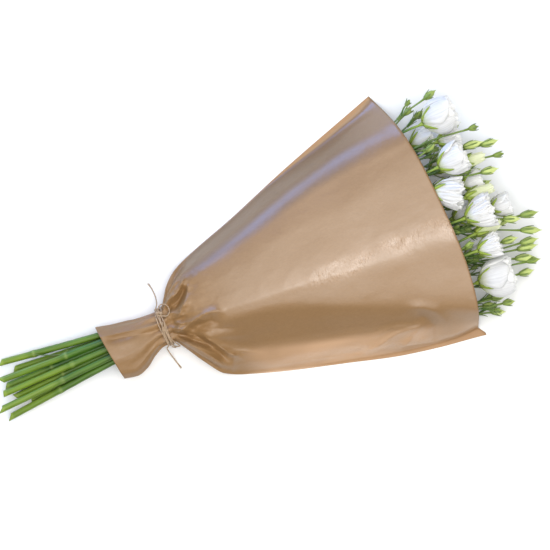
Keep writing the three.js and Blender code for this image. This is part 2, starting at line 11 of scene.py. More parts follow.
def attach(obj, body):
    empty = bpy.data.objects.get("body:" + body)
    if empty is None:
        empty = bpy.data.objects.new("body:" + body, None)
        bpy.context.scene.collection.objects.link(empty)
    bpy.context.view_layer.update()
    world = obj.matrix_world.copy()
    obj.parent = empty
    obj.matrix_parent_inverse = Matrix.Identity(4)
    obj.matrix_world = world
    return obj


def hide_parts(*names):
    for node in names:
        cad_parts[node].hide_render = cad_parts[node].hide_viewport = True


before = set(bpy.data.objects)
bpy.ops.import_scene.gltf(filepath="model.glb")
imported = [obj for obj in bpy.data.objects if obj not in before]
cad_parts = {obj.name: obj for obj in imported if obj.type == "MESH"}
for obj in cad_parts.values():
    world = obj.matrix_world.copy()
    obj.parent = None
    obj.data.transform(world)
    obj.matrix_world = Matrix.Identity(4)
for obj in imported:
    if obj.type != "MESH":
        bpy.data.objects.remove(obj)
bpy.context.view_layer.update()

# Camera. The photographer stands over the table and looks straight down, far enough away for the
# flowers and the paper to keep their true sizes. The bouquet lies 22 degrees off the level.
CAMERA_HEIGHT = 4.0
VIEW_WIDTH = 0.6875
VIEW_LEVEL = 0.04
VIEW_CENTRE = (-0.047, 0.006)
VIEW_TURN = math.radians(-22)
camera_data = bpy.data.cameras.new("camera")
camera_data.sensor_width = 36.0
camera_data.lens = camera_data.sensor_width * (CAMERA_HEIGHT - VIEW_LEVEL) / VIEW_WIDTH
camera = bpy.data.objects.new("camera", camera_data)
camera.location = (*VIEW_CENTRE, CAMERA_HEIGHT)
camera.rotation_euler = (0, 0, VIEW_TURN)
bpy.context.scene.collection.objects.link(camera)
bpy.context.scene.camera = camera

# Studio light. A wide soft light hangs over the table, with a brighter lamp in its middle. The
# glazed paper mirrors a low cool window at the photograph's upper left. The room is even and white.
ROOM_STRENGTH = 0.26
world = bpy.data.worlds.new("room")
world.use_nodes = True
world.node_tree.nodes["Background"].inputs["Color"].default_value = (0.86, 0.93, 1.0, 1.0)
world.node_tree.nodes["Background"].inputs["Strength"].default_value = ROOM_STRENGTH
bpy.context.scene.world = world
bpy.context.scene.view_settings.view_transform = "Standard"


def soft_light(name, place, size, power, colour):
    """A soft light that faces the bouquet. place is across, up and above the photograph's middle."""
    light = bpy.data.lights.new(name, "AREA")
    light.shape = "RECTANGLE"
    light.size, light.size_y = size
    light.energy = power
    light.color = colour
    middle = Vector((*VIEW_CENTRE, 0))
    reach = Matrix.Rotation(VIEW_TURN, 3, "Z") @ Vector(place)
    lamp = bpy.data.objects.new(name, light)
    lamp.location = middle + reach
    lamp.rotation_euler = (-reach).to_track_quat("-Z", "Y").to_euler()
    bpy.context.scene.collection.objects.link(lamp)


soft_light("overhead_light", (0.08, -0.08, 2.1), (3.6, 3.6), 91.0, (1.0, 0.985, 0.955))
soft_light("lamp_in_its_middle", (0.05, -0.10, 2.05), (0.55, 0.55), 8.5, (1.0, 0.99, 0.97))
soft_light("window_light", (-1.2, 1.6, 0.50), (1.6, 0.8), 31.0, (0.23, 0.45, 1.0))

# Table top. It is a plain white board and takes only the soft shadow of the bouquet. A faint glow
# of its own keeps it white right up to the paper.
FLOOR_HALF = 3.0
FLOOR_GLOW = 0.06
board = bmesh.new()
bmesh.ops.create_grid(board, x_segments=1, y_segments=1, size=FLOOR_HALF)
floor_mesh = bpy.data.meshes.new("table_top")
board.to_mesh(floor_mesh)
board.free()
floor = bpy.data.objects.new("table_top", floor_mesh)
bpy.context.scene.collection.objects.link(floor)
floor_paint = bpy.data.materials.new("white_board")
floor_paint.use_nodes = True
floor_shader = floor_paint.node_tree.nodes["Principled BSDF"]
floor_shader.inputs["Base Color"].default_value = (0.80, 0.80, 0.80, 1)
floor_shader.inputs["Roughness"].default_value = 0.8
floor_shader.inputs["Emission Color"].default_value = (1.0, 1.0, 1.0, 1)
floor_shader.inputs["Emission Strength"].default_value = FLOOR_GLOW
floor_mesh.materials.append(floor_paint)


# Kraft paper sleeve. The real one is a single sheet of brown kraft, glazed on its outer side and
# about 0.1 mm thick, rolled round the stems into a flattened cone. It lies flat underneath, arches
# over the blooms, is pressed flat along its two sides and gathered in pleats under the tie.
TIE_X = 0.2
TO_FRAME = Matrix.Translation((-TIE_X, 0, 0)) @ Matrix.Scale(0.001, 4)
CONE = (347.0, 361.0)
COLLAR = (-80.5, -70.5)
MOUTH_BULGE = 23.0
CORNER_REACH = 11.0
PLEATS = 10
SHEET_THICKNESS = 0.0004
PAPER_LOWEST = 0.1
GATHERS = 22
GATHER_SEED = 5
POINTS_OVER = 153
POINTS_UNDER = 41
ROWS_IN_CONE = 187
ROWS_IN_COLLAR = 46


def clamp(x, low=0.0, high=1.0):
    return max(low, min(high, x))


def mix(a, b, t):
    return a + (b - a) * t


def ease(x, low, high):
    t = clamp((x - low) / (high - low))
    return t * t * (3 - 2 * t)


def through(points):
    """A smooth curve y(x) through a few points, level where it would overshoot."""
    slopes = [None] * len(points)
    for i in range(1, len(points) - 1):
        before = (points[i][1] - points[i - 1][1]) / (points[i][0] - points[i - 1][0])
        after = (points[i + 1][1] - points[i][1]) / (points[i + 1][0] - points[i][0])
        slopes[i] = 2 * before * after / (before + after) if before * after > 0 else 0.0

    def value(x):
        i = 0
        while i < len(points) - 2 and x > points[i + 1][0]:
            i += 1
        (x0, y0), (x1, y1) = points[i], points[i + 1]
        width = x1 - x0
        s = clamp((x - x0) / width)
        chord = (y1 - y0) / width
        m0 = (chord if slopes[i] is None else slopes[i]) * width
        m1 = (chord if slopes[i + 1] is None else slopes[i + 1]) * width
        return ((2 * s**3 - 3 * s * s + 1) * y0 + (s**3 - 2 * s * s + s) * m0
                + (3 * s * s - 2 * s**3) * y1 + (s**3 - s * s) * m1)

    return value


# The outline seen from above, the heights at the tie and the depth of the pleats, in millimetres.
# The edges run along X. The rest runs from -1 at the collar's rim through 0 at the tie to 1 at the mouth.
left_edge = through([(-80.5, 30), (-60, 25.5), (-41, 22.8), (-31, 20.8), (-8, 19.4), (0, 20.5), (6, 23),
                     (12, 31), (20, 43), (35, 57), (52, 66), (131, 94), (210, 124), (347, 171)])
right_edge = through([(-70.5, -44), (-53, -47), (-38, -42), (-24, -32), (-8, -25), (6, -25), (12, -33),
                      (31, -63), (48, -85), (89, -102), (199, -132), (267, -149), (361, -164)])
top_at = through([(-1, 50), (-0.5, 45), (-0.1, 41.6), (0, 41.4), (0.018, 41.4), (0.035, 44), (0.06, 51),
                  (0.1, 58), (0.2, 66), (0.4, 75), (0.8, 84), (1, 91)])
bottom_at = through([(-1, 1), (-0.5, 1.8), (-0.08, 3.2), (0.018, 3.2), (0.05, 1.8), (0.14, 0), (1, 0)])
pleat_at = through([(-1, 0.2), (-0.5, 0.6), (-0.15, 1.5), (-0.08, 2), (0.018, 2), (0.04, 3), (0.08, 3.6),
                    (0.15, 2.6), (0.26, 0)])
left_flange = through([(0, 0), (0.5, 0), (0.62, 0.007), (0.8, 0.016), (0.92, 0.016), (1, 0.006)])
right_flange = through([(0, 0), (0.25, 0.004), (0.9, 0.012), (1, 0.034)])

# Where the sheet bends, as shares of the way from the left side to the right one: the top of the
# long flat stretch, the edge where it turns down and the foot of the steep band, and their heights.
crown_place = through([(0, 0.46), (0.34, 0.51), (0.57, 0.545), (1, 0.60)])
turn_place = through([(0, 0.52), (0.34, 0.59), (0.57, 0.705), (0.79, 0.80), (1, 0.885)])
turn_height = through([(0, 0.98), (0.34, 0.92), (0.57, 0.86), (0.79, 0.77), (1, 0.74)])
foot_place = through([(0, 0.78), (0.34, 0.81), (0.57, 0.845), (0.79, 0.893), (1, 0.945)])
foot_height = through([(0, 0.46), (0.34, 0.46), (0.57, 0.48), (0.79, 0.46), (1, 0.38)])
ridge_place = through([(0, 0.14), (0.57, 0.142), (0.79, 0.155), (1, 0.195)])
ridge_height = through([(0, 0.75), (0.34, 0.73), (0.57, 0.71), (0.79, 0.69), (1, 0.70)])

# Folds in the upper sheet, each a line of places seen from above, with its height in millimetres
# (below zero for a hollow), its half width and how sharp it is: 0 for a soft roll, 1 for a crease.
FOLDS = [
    # a short arched fold above the long ridge, near the mouth
    ([(262, 118), (290, 130), (313, 141), (334, 146), (354, 136)], 2.4, 7, 0.3),
    # an upright fold near the mouth, where the steep band ends
    ([(296, -104), (308, -114), (314, -128), (309, -144), (300, -158)], -7.0, 7, 0.6),
    ([(286, -93), (306, -99), (322, -111), (330, -128), (322, -148)], 4.2, 6, 0.8),
    # creases along the lower side
    ([(214, -126), (238, -126), (267, -119), (312, -123)], 5.5, 6, 0.9),
    ([(180, -124), (237, -131), (268, -127)], 3.6, 5, 0.9),
    ([(258, -147), (302, -120)], 4.6, 6, 0.9),
    ([(258, -134), (313, -149), (331, -148), (366, -150)], 3.6, 5, 0.9),
    ([(110, -100), (180, -116), (262, -138)], -3.5, 7, 0.3),
    ([(84, -94), (150, -109), (215, -125)], 3.6, 5, 0.9),
    ([(236, -113), (262, -110), (290, -117)], 2.4, 5, 0.9),
    # the pocket folded in above the tie
    ([(50, 46), (44, 43), (36, 35), (30, 30), (22, 28), (12, 25)], 5.5, 4, 0.95),
    ([(45, 37), (38, 29), (30, 21), (22, 14), (12, 8)], -9.0, 6, 0.45),
    ([(50, 38), (44, 28), (38, 19), (28, 9), (16, -2)], 4.8, 4.5, 0.95),
    # folds that run out from the tie to the lower side
    ([(6, -15), (19, -14), (28, -12), (39, -8), (57, -6), (70, -8), (80, -20)], 7.0, 6, 0.95),
    ([(10, -21), (28, -19), (42, -17), (58, -17), (74, -28)], -7.0, 7, 0.3),
    ([(12, -24), (22, -34), (35, -50), (47, -67), (54, -84)], 6.5, 5, 0.9),
    ([(18, -17), (33, -26), (42, -40), (52, -58), (60, -78)], -7.5, 6, 0.5),
    ([(40, -30), (52, -46), (64, -64), (80, -80)], 6.0, 5, 0.95),
    ([(71, -64), (62, -78), (56, -90)], 3.2, 4.5, 0.85),
    ([(14, 0), (22, -7), (11, -12)], 3.2, 3.5, 0.85),
    ([(8, 14), (18, 10), (30, 2)], 2.4, 3, 0.7),
    # the collar: one fold near its upper side and a line down its lower side
    ([(-88, 17), (-76, 15), (-58, 12), (-40, 9), (-24, 6), (2, 3)], 6.5, 4.5, 0.9),
    ([(-76, 9), (-58, 6), (-44, 3), (-30, 0), (-8, -2)], -6.0, 5, 0.4),
    ([(-80, 25), (-62, 23), (-44, 20), (-26, 17), (-8, 14)], -2.6, 5, 0.3),
    ([(-8, -14), (-26, -24), (-42, -33), (-60, -44)], 3.0, 5.5, 0.8),
    ([(-30, 22), (-20, 26), (-10, 20)], 3.0, 4, 0.9),
]


def line_place(x, y, line):
    """How far a place is from a line of points, and how far along the line its nearest point is."""
    best = None
    spans = [math.dist(a, b) for a, b in zip(line, line[1:])]
    total = sum(spans)
    gone = 0.0
    for (ax, ay), (bx, by), span in zip(line, line[1:], spans):
        s = clamp(((x - ax) * (bx - ax) + (y - ay) * (by - ay)) / (span * span))
        off = math.hypot(x - mix(ax, bx, s), y - mix(ay, by, s))
        if best is None or off < best[0]:
            best = (off, (gone + s * span) / total)
        gone += span
    return best


def gathers(seed):
    """Small creases that run out from the tie, where the paper was squeezed together."""
    chance = random.Random(seed)
    lines = []
    for k in range(GATHERS):
        share = (k + chance.uniform(0.1, 0.9)) / GATHERS
        length = chance.choice([22, 30, 38, 55, 80]) * chance.uniform(0.8, 1.2)
        start = mix(22, -22, share)
        far = 12 + length
        end = mix(left_edge(far), right_edge(far), mix(share, 0.5, 0.1)) * 0.93
        middle = 12 + 0.3 * length
        bend = mix(start, end, 0.42 + chance.uniform(-0.04, 0.04))
        height = chance.choice([-1, 1]) * chance.uniform(1.2, 3.0)
        half = chance.uniform(2.5, 4.5) + 0.02 * length
        lines.append(([(8, start), (middle, bend), (far, end)], height, half, 0.8))
    return lines


def with_reach(line, height, half, sharp):
    """Adds to a fold where along X it begins and where it ends, so that far places can pass it over."""
    low = min(x for x, _ in line) - 3 * half
    high = max(x for x, _ in line) + 3 * half
    return line, height, half, sharp, low, high


ALL_FOLDS = [with_reach(*fold) for fold in FOLDS + gathers(GATHER_SEED)]


def ripple(x, y, long, wide, layer):
    """Smooth seeded noise over the sheet. long and wide are the size of its ripples in millimetres."""
    return noise.noise(Vector((x / long, y / wide, layer)))


def relief(x, y):
    """The height of the folds and of the crumpled grain at a place seen from above."""
    z = 0.0
    for line, height, half, sharp, low, high in ALL_FOLDS:
        if not low < x < high:
            continue
        off, along = line_place(x, y, line)
        if off > 3 * half:
            continue
        fade = ease(along, 0.0, 0.18) * (1 - ease(along, 0.7, 1.0))
        soft = math.exp(-((off / half) ** 2))
        crease = 0.65 * math.exp(-off / (0.42 * half)) + 0.35 * max(0.0, 1 - off / (1.5 * half))
        z += height * fade * mix(soft, crease, sharp)
    near_tie = 1 - ease(abs(x), 25, 110)
    z += 1.2 * ripple(x, y, 60, 42, 3.1)
    z += (0.45 + 1.5 * near_tie) * (0.3 - abs(ripple(x, y, 34, 18, 5.3)))
    z += 0.9 * near_tie * (0.3 - abs(ripple(x, y, 11, 6, 1.9)))
    creased = crumpled(x, y) * ease(y, -80, -50)
    z += (0.10 + 0.7 * creased) * (0.2 - abs(ripple(x, y, 16, 16, 7.7)))
    z += 0.5 * creased * ripple(x, y, 7, 9, 2.2)
    return z


def crumpled(x, y):
    """How crumpled the glaze is: the sheet was bent and straightened again along the crown."""
    ragged = 8 * ripple(x, y, 30, 30, 4.4)
    patchy = 0.8 + 0.9 * ripple(x, y, 24, 12, 8.1)
    crown = math.exp(-(((y + 16 + ragged) / 9.5) ** 2)) * ease(x, 150, 240) * clamp(patchy)
    middle = mix(-96, -140, (x - 110) / 190)
    low = math.exp(-(((y - middle) / 13) ** 2)) * ease(x, 90, 150) * (1 - ease(x, 300, 345))
    return max(crown, 0.22 * low)


def painted_highlight(x, y):
    """How far the brown is painted paler as a painted highlight: most on the lower side, where the sheet
    flattens out and catches the light, and a little along the crumpled crown.
    """
    middle = -78 - 0.2625 * (x - 120)
    highlight_strength = 0.70 + 0.42 * math.exp(-(((x - 200) / 48) ** 2)) + 0.4 * ripple(x, y, 40, 14, 6.6)
    low = (1 - ease(y, middle - 6, middle + 6)) * ease(x, 66, 110) * (1 - 0.45 * ease(x, 290, 335))
    return clamp(max(0.9 * low * highlight_strength, 0.35 * crumpled(x, y)))


def dome(f):
    """The height of the upper sheet across the cone, as a share of its full height."""
    strip = left_flange(f) + 0.004
    edge = 1 - right_flange(f)
    fold, ridge = ridge_place(f), ridge_height(f)
    crown = crown_place(f)
    turn, turned = turn_place(f), turn_height(f)
    foot, low = foot_place(f), foot_height(f)
    return through([(0, 0.012), (strip, 0.02), (fold - 0.055, ridge - 0.16), (fold - 0.01, ridge - 0.03),
                    (fold + 0.04, ridge + 0.05), (fold + 0.16, mix(ridge, 1.0, 0.6)), (crown, 1.0),
                    (mix(crown, turn, 0.5), 1 - 0.36 * (1 - turned)), (turn, turned), (foot, low),
                    (mix(foot, edge, 0.55), 0.55 * low), (edge, 0.014), (1.001, 0.012)])


def place_of(t):
    """The share of the sheet's width at t. Its points crowd towards the two sides, where it bends most."""
    return (1 - math.cos(math.pi * t)) / 2


def sleeve_point(f, t, upper, rise_at):
    """A place on the sheet. f is -1 at the collar's rim, 0 at the tie and 1 at the cone's mouth.
    t is 0 at the left side and 1 at the right side."""
    x_left, x_right = (abs(f) * end for end in (COLLAR if f < 0 else CONE))
    left, right = left_edge(x_left), right_edge(x_right)
    angle = 0.05 + (math.pi - 0.1) * t
    half_height = (top_at(f) - bottom_at(f)) / 2
    pleat = pleat_at(f) * (1 - math.cos(PLEATS * math.pi * t))
    round_y = (left + right) / 2 + ((left - right) / 2 - pleat) * math.cos(angle)
    round_z = bottom_at(f) + half_height + (1 if upper else -1) * (half_height - pleat) * math.sin(angle)
    place = place_of(t)
    arch_z = top_at(f) * rise_at(place) if upper else 0.0
    arched = ease(f, 0.04, 0.22)
    bulge = MOUTH_BULGE * ease(f, 0, 1) * (1 - abs(2 * place - 1) ** 3)
    tip = CORNER_REACH * ease(place, 0.955, 1.0) * ease(f, 0.86, 1.0)
    x = mix(x_left, x_right, place) + bulge + tip
    y = mix(round_y, mix(left, right, place), arched)
    z = mix(round_z, arch_z, arched)
    if upper:
        room = ease(z, 1.5, 14) if f > 0 else 0.5
        z = max(z + relief(x, y) * room * ease(abs(f), 0.012, 0.04), 0.6)
    return Vector((x, y, z))


def matte_side(f, place):
    """How far the sheet shows its unglazed side: 1 on the strip of the back sheet beyond the front one."""
    left = 1 - ease(place, 0.8 * left_flange(f), 0.8 * left_flange(f) + 0.006)
    right = ease(place, 1 - right_flange(f) - 0.012, 1 - right_flange(f) - 0.004)
    return max(left, right) * ease(f, 0.3, 0.5)


def dull_and_painted_shade(f, place):
    """How far the glaze is dulled, and how far the brown is darkened as painted shade. Both are so on
    the side behind the ridge and on the steep band, which face away from the light. It is dull round
    the tie as well, and the brown is darkened as painted shade on the collar."""
    flange, turn, foot, fold = left_flange(f), turn_place(f), foot_place(f), ridge_place(f)
    behind = ease(place, flange, flange + 0.012) * ease(f, 0.05, 0.2)
    band = ease(place, turn - 0.02, turn + 0.03) * (1 - ease(place, foot - 0.03, foot + 0.02))
    band *= ease(f, 0.1, 0.25) * (1 - ease(f, 0.8, 1))
    collar = 0.3 * ease(-f, 0.25, 0.5)
    before_mouth = 1 - ease(f, 0.75, 1)
    squeezed = 1 - ease(f, 0.10, 0.30)
    dull = 0.85 * behind * (1 - ease(place, fold - 0.07, fold - 0.035)) * before_mouth
    dull = max(dull, 0.5 * behind * (1 - ease(place, fold, fold + 0.03)) * (1 - ease(f, 0.2, 0.5)))
    # Painted shade: the brown is darkened on the side behind the ridge, on the steep band and on the collar,
    # where they lie in shade.
    dark = 0.9 * behind * (1 - ease(place, fold - 0.01, fold + 0.04)) * (0.3 + 0.7 * before_mouth)
    return max(dull, 0.85 * band, squeezed), max(dark, 0.4 * band, collar)


def new_piece(*marks):
    """An empty bmesh for one piece, in millimetres from the tie. Its points carry marks, which are
    numbers for its material."""
    mesh = bmesh.new()
    for mark in marks:
        mesh.verts.layers.float.new(mark)
    return mesh


def lay_sheet(mesh, rows, marks, rolled=False):
    """Lays a grid over rows of places, each with its marks, and gives its points back row by row.
    A rolled grid is closed along its two sides."""
    layers = mesh.verts.layers.float.values()
    wide = len(rows[0]) + rolled
    made = bmesh.ops.create_grid(mesh, x_segments=wide - 1, y_segments=len(rows) - 1, size=1)["verts"]
    made = sorted(made, key=lambda point: (point.co.y, point.co.x))
    grid = [made[start:start + wide] for start in range(0, len(made), wide)]
    for points, places, row_marks in zip(grid, rows, marks):
        for k, point in enumerate(points):
            point.co = places[k % len(places)]
            for layer, mark in zip(layers, row_marks[k % len(places)]):
                point[layer] = mark
    if rolled:
        bmesh.ops.weld_verts(mesh, targetmap={points[-1]: points[0] for points in grid})
        grid = [points[:-1] for points in grid]
    return grid


def keep_above(mesh, lowest):
    """Lifts the points of a piece that lie lower than it may lie on the table."""
    for point in mesh.verts:
        point.co.z = max(point.co.z, lowest)


def finished(mesh, name, material):
    """The object of a finished bmesh, at the origin of the frame and in metres."""
    bmesh.ops.transform(mesh, matrix=TO_FRAME, verts=mesh.verts)
    data = bpy.data.meshes.new(name)
    mesh.to_mesh(data)
    mesh.free()
    data.shade_smooth()
    data.materials.append(material)
    piece = bpy.data.objects.new(name, data)
    bpy.context.scene.collection.objects.link(piece)
    return piece


def thicken(piece, thickness, offset):
    """Gives a thin piece its thickness, in metres."""
    wall = piece.modifiers.new("thickness", "SOLIDIFY")
    wall.thickness = thickness
    wall.offset = offset


def sleeve():
    """The rolled sheet, ring by ring from the collar's rim to the mouth, closest near the tie."""
    stations = [-1 + i / ROWS_IN_COLLAR for i in range(ROWS_IN_COLLAR)]
    stations += [0.35 * s + 0.65 * s * s for s in (i / (ROWS_IN_CONE - 1) for i in range(ROWS_IN_CONE))]
    rows, marks = [], []
    for f in stations:
        rise_at = dome(max(f, 0.0))
        row, row_marks = [], []
        for k in range(POINTS_OVER):
            t = k / (POINTS_OVER - 1)
            spot = sleeve_point(f, t, True, rise_at)
            place = place_of(t)
            row.append(spot)
            row_marks.append((crumpled(spot.x, spot.y), matte_side(f, place), painted_highlight(spot.x, spot.y),
                              *dull_and_painted_shade(f, place)))
        for k in reversed(range(POINTS_UNDER)):
            row.append(sleeve_point(f, k / (POINTS_UNDER - 1), False, rise_at))
            row_marks.append((0.0, 1.0, 0.0, 0.0, 0.0))
        rows.append(row)
        marks.append(row_marks)
    mesh = new_piece("crumpled", "matte", "painted_highlight", "dulled", "painted_shade")
    lay_sheet(mesh, rows, marks, rolled=True)
    keep_above(mesh, PAPER_LOWEST)
    return mesh


def node(tree, kind, output, feeds, **settings):
    """Adds a shader node with its settings, feeds its inputs and gives back one of its outputs."""
    made = tree.nodes.new("ShaderNode" + kind)
    for setting, value in settings.items():
        setattr(made, setting, value)
    for name, value in feeds.items():
        feed(tree, made.inputs[name], value)
    return made.outputs[output]


def feed(tree, socket, value):
    """Feeds an input with the output of another node, or else with a colour or a number."""
    if isinstance(value, bpy.types.NodeSocket):
        tree.links.new(value, socket)
    elif socket.type == "RGBA":
        socket.default_value = (*value, 1)
    else:
        socket.default_value = value


def new_material(name, feeds):
    """A new material with its node tree. feeds sets what is the same all over the surface."""
    material = bpy.data.materials.new(name)
    material.use_nodes = True
    dress(material, feeds)
    return material, material.node_tree


def dress(material, feeds):
    """Feeds the main shader of a material."""
    shader = material.node_tree.nodes["Principled BSDF"]
    for name, value in feeds.items():
        feed(material.node_tree, shader.inputs[name], value)


def mark_of(tree, name):
    return node(tree, "Attribute", "Fac", {}, attribute_name=name)


def own_place(tree):
    return node(tree, "TexCoord", "Object", {})


def noise_at(tree, vector, scale, detail):
    return node(tree, "TexNoise", "Fac", {"Vector": vector, "Scale": scale, "Detail": detail})


def stretched(tree, vector, scale):
    return node(tree, "Mapping", "Vector", {"Vector": vector, "Scale": scale})


def share_of(tree, value, share, more=0.0):
    """A share of a value, with another value or number added."""
    return node(tree, "Math", 0, {0: value, 1: share, 2: more}, operation="MULTIPLY_ADD")


def spread_of(tree, value, low, high, to_low=0.0, to_high=1.0):
    return node(tree, "MapRange", "Result", {"Value": value, "From Min": low, "From Max": high,
                                             "To Min": to_low, "To Max": to_high})


def blend_of(tree, factor, a, b):
    return node(tree, "Mix", "Result", {"Factor": factor, "A": a, "B": b}, data_type="RGBA")


def bump_of(tree, height, strength, distance, under=None):
    feeds = {"Height": height, "Strength": strength, "Distance": distance}
    if under is not None:
        feeds["Normal"] = under
    return node(tree, "Bump", "Normal", feeds)


def kraft_material():
    """Warm brown fibres under a thin glaze. The glaze is missing on the sheet's other side."""
    material, tree = new_material("glazed_kraft", {"Coat Roughness": 0.22, "Specular IOR Level": 0.6})
    where = own_place(tree)
    fibre = noise_at(tree, stretched(tree, where, (1.0, 2.2, 1.0)), 260.0, 6.0)
    cloud = noise_at(tree, where, 9.0, 3.0)
    matte, creased, dulled = (mark_of(tree, mark) for mark in ("matte", "crumpled", "dulled"))
    tone = share_of(tree, cloud, 0.45, share_of(tree, fibre, 0.55))
    glazed = blend_of(tree, tone, (0.210, 0.115, 0.043), (0.304, 0.172, 0.072))
    bare = blend_of(tree, tone, (0.30, 0.168, 0.078), (0.40, 0.236, 0.118))
    # Painted highlight: the brown is blended towards a pale tan on the lower side and along the crumpled
    # crown.
    highlighted_brown = blend_of(tree, mark_of(tree, "painted_highlight"), glazed, (0.49, 0.30, 0.17))
    # Painted shade: the brown is blended towards black on the side behind the ridge, the steep band and the
    # collar.
    painted_shade = spread_of(tree, mark_of(tree, "painted_shade"), 0.0, 1.0, 0.0, 0.3)
    brown = blend_of(tree, matte, blend_of(tree, painted_shade, highlighted_brown, (0.0, 0.0, 0.0)), bare)
    polish = spread_of(tree, cloud, 0.3, 0.7, 0.35, 0.47)
    shine = spread_of(tree, matte, 0.0, 1.0, 0.84, 0.25)
    coat = share_of(tree, matte, -0.16, share_of(tree, creased, 0.45))
    soft = bump_of(tree, noise_at(tree, where, 60.0, 4.0), 0.45, 0.0016)
    wrinkles = noise_at(tree, stretched(tree, where, (1.5, 0.7, 1.0)), 210.0, 2.0)
    dress(material, {
        "Base Color": brown,
        "Roughness": share_of(tree, dulled, 0.10, polish),
        "Specular IOR Level": share_of(tree, dulled, -0.50, shine),
        "Coat Weight": spread_of(tree, coat, -0.16, 0.45, 0.0, 0.85),
        "Normal": bump_of(tree, fibre, 0.20, 0.0002, bump_of(tree, wrinkles, creased, 0.0036, soft)),
    })
    return material


wrap = finished(sleeve(), "kraft_paper_sleeve", kraft_material())
thicken(wrap, SHEET_THICKNESS, -1)
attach(wrap, "root")
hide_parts("kraft_wrap")


# Jute twine. It is one length of thin three-ply twine, wound four times round the neck of the
# paper and knotted on top, with a small loop, two slack bights and two short frayed ends.
TWINE_RADIUS = 0.9
TWINE_TURNS = 4
TWINE_PITCH = 2.15
TWINE_SLACK = 1.0
TURN_STEPS = 70
WINDING_POINTS = 470
PLIES = 3
PLY_RADIUS = 0.4
PLY_OFFSET = 0.42
PLY_LAY = 5.0
PLY_SIDES = 5
FRAY = 7.0
FIBRE_RADIUS = 0.07
FIBRE_SPACING = 3.0
LOWEST = 0.3


def smooth_line(knots, count, power=0.0, samples=24):
    """Evenly spaced points along a smooth line through the knots. A power of 0.5 keeps it from
    swinging out between knots that are unevenly spaced."""
    knots = [Vector(k) for k in knots]
    padded = [2 * knots[0] - knots[1], *knots, 2 * knots[-1] - knots[-2]]
    dense = []
    for i in range(1, len(padded) - 2):
        near = padded[i - 1:i + 3]
        t = [0.0]
        for a, b in zip(near, near[1:]):
            t.append(t[-1] + max((b - a).length, 1e-6) ** power)
        for k in range(samples):
            x = mix(t[1], t[2], k / samples)
            spots = near
            for order in (1, 2):
                spots = [mix(spots[j], spots[j + 1], (x - t[j]) / (t[j + order] - t[j]))
                         for j in range(4 - order)]
            dense.append(mix(spots[0], spots[1], (x - t[1]) / (t[2] - t[1])))
    dense.append(knots[-1])
    return even_points(dense, count)


def run_of(points):
    """How far along a line each of its points is."""
    gone = [0.0]
    for a, b in zip(points, points[1:]):
        gone.append(gone[-1] + (b - a).length)
    return gone


def even_points(dense, count):
    """The same line with evenly spaced points."""
    gone = run_of(dense)
    points = []
    j = 0
    for i in range(count):
        want = gone[-1] * i / (count - 1)
        while j < len(dense) - 2 and gone[j + 1] < want:
            j += 1
        span = gone[j + 1] - gone[j]
        points.append(dense[j].lerp(dense[j + 1], clamp((want - gone[j]) / span if span else 0.0)))
    return points


def carried_frames(points, first=None):
    """A tangent and two directions across it at each point, turning no more than the line does."""
    frames = []
    across = first
    for i in range(len(points)):
        tangent = (points[min(i + 1, len(points) - 1)] - points[max(i - 1, 0)]).normalized()
        if across is None:
            across = tangent.orthogonal()
        across = (across - tangent * across.dot(tangent)).normalized()
        frames.append((tangent, across, tangent.cross(across)))
    return frames


def close_ring(mesh, ring):
    """Closes the open end of a tube and gives back the new face."""
    edges = [mesh.edges.get(pair) for pair in zip(ring, ring[1:] + ring[:1])]
    face = bmesh.ops.holes_fill(mesh, edges=edges, sides=0)["faces"][0]
    face.normal_update()
    return face


def lay_tube(mesh, line, radius_at, sides, mark_at, first=None):
    """Lays a closed tube along a line and gives back its first ring and the face that closes it.
    radius_at and mark_at take the share of the way along and the angle round the tube."""
    angles = [2 * math.pi * k / sides for k in range(sides)]
    rows, marks = [], []
    for i, (place, (_, across, up)) in enumerate(zip(line, carried_frames(line, first))):
        s = i / (len(line) - 1)
        rows.append([place + radius_at(s, angle) * (math.cos(angle) * across + math.sin(angle) * up)
                     for angle in angles])
        marks.append([mark_at(s, angle) for angle in angles])
    rings = lay_sheet(mesh, rows, marks, rolled=True)
    close_ring(mesh, rings[-1])
    return rings[0], close_ring(mesh, rings[0])


def twine_strand(mesh, points, seed, frayed=False):
    """Three plies twisted round one line, with a few loose fibres that stand off it."""
    chance = random.Random(seed)
    frames = carried_frames(points)
    gone = run_of(points)
    for ply in range(PLIES):
        line = []
        for p, (_, across, up), run in zip(points, frames, gone):
            angle = 2 * math.pi * (run / PLY_LAY + ply / PLIES)
            open_up = 1 + (1.6 * ease(run, gone[-1] - FRAY, gone[-1]) if frayed else 0)
            line.append(p + PLY_OFFSET * open_up * (math.cos(angle) * across + math.sin(angle) * up))
        tone = chance.uniform(0.2, 0.8)
        lay_tube(mesh, line, lambda s, a: PLY_RADIUS * (1 - 0.5 * (ease(s, 0.94, 1) if frayed else 0)),
                 PLY_SIDES, lambda s, a: (tone, s))
    for _ in range(int(gone[-1] / FIBRE_SPACING)):
        i = chance.randrange(1, len(points) - 2)
        tangent, across, up = frames[i]
        spin = chance.uniform(0, 2 * math.pi)
        out = math.cos(spin) * across + math.sin(spin) * up
        start = points[i] + 0.7 * out
        reach = chance.uniform(1.6, 4.2)
        way = tangent * chance.choice([-1, 1]) + 0.55 * out
        way = (way + 0.3 * Vector([chance.uniform(-1, 1) for _ in range(3)])).normalized()
        curl = 0.5 * Vector([chance.uniform(-1, 1) for _ in range(3)])
        fibre = [start + way * reach * s + curl * reach * s * s for s in (0, 0.35, 0.7, 1)]
        lay_tube(mesh, fibre, lambda s, a: FIBRE_RADIUS * (1.05 - s), 3, lambda s, a: (0.9, s))


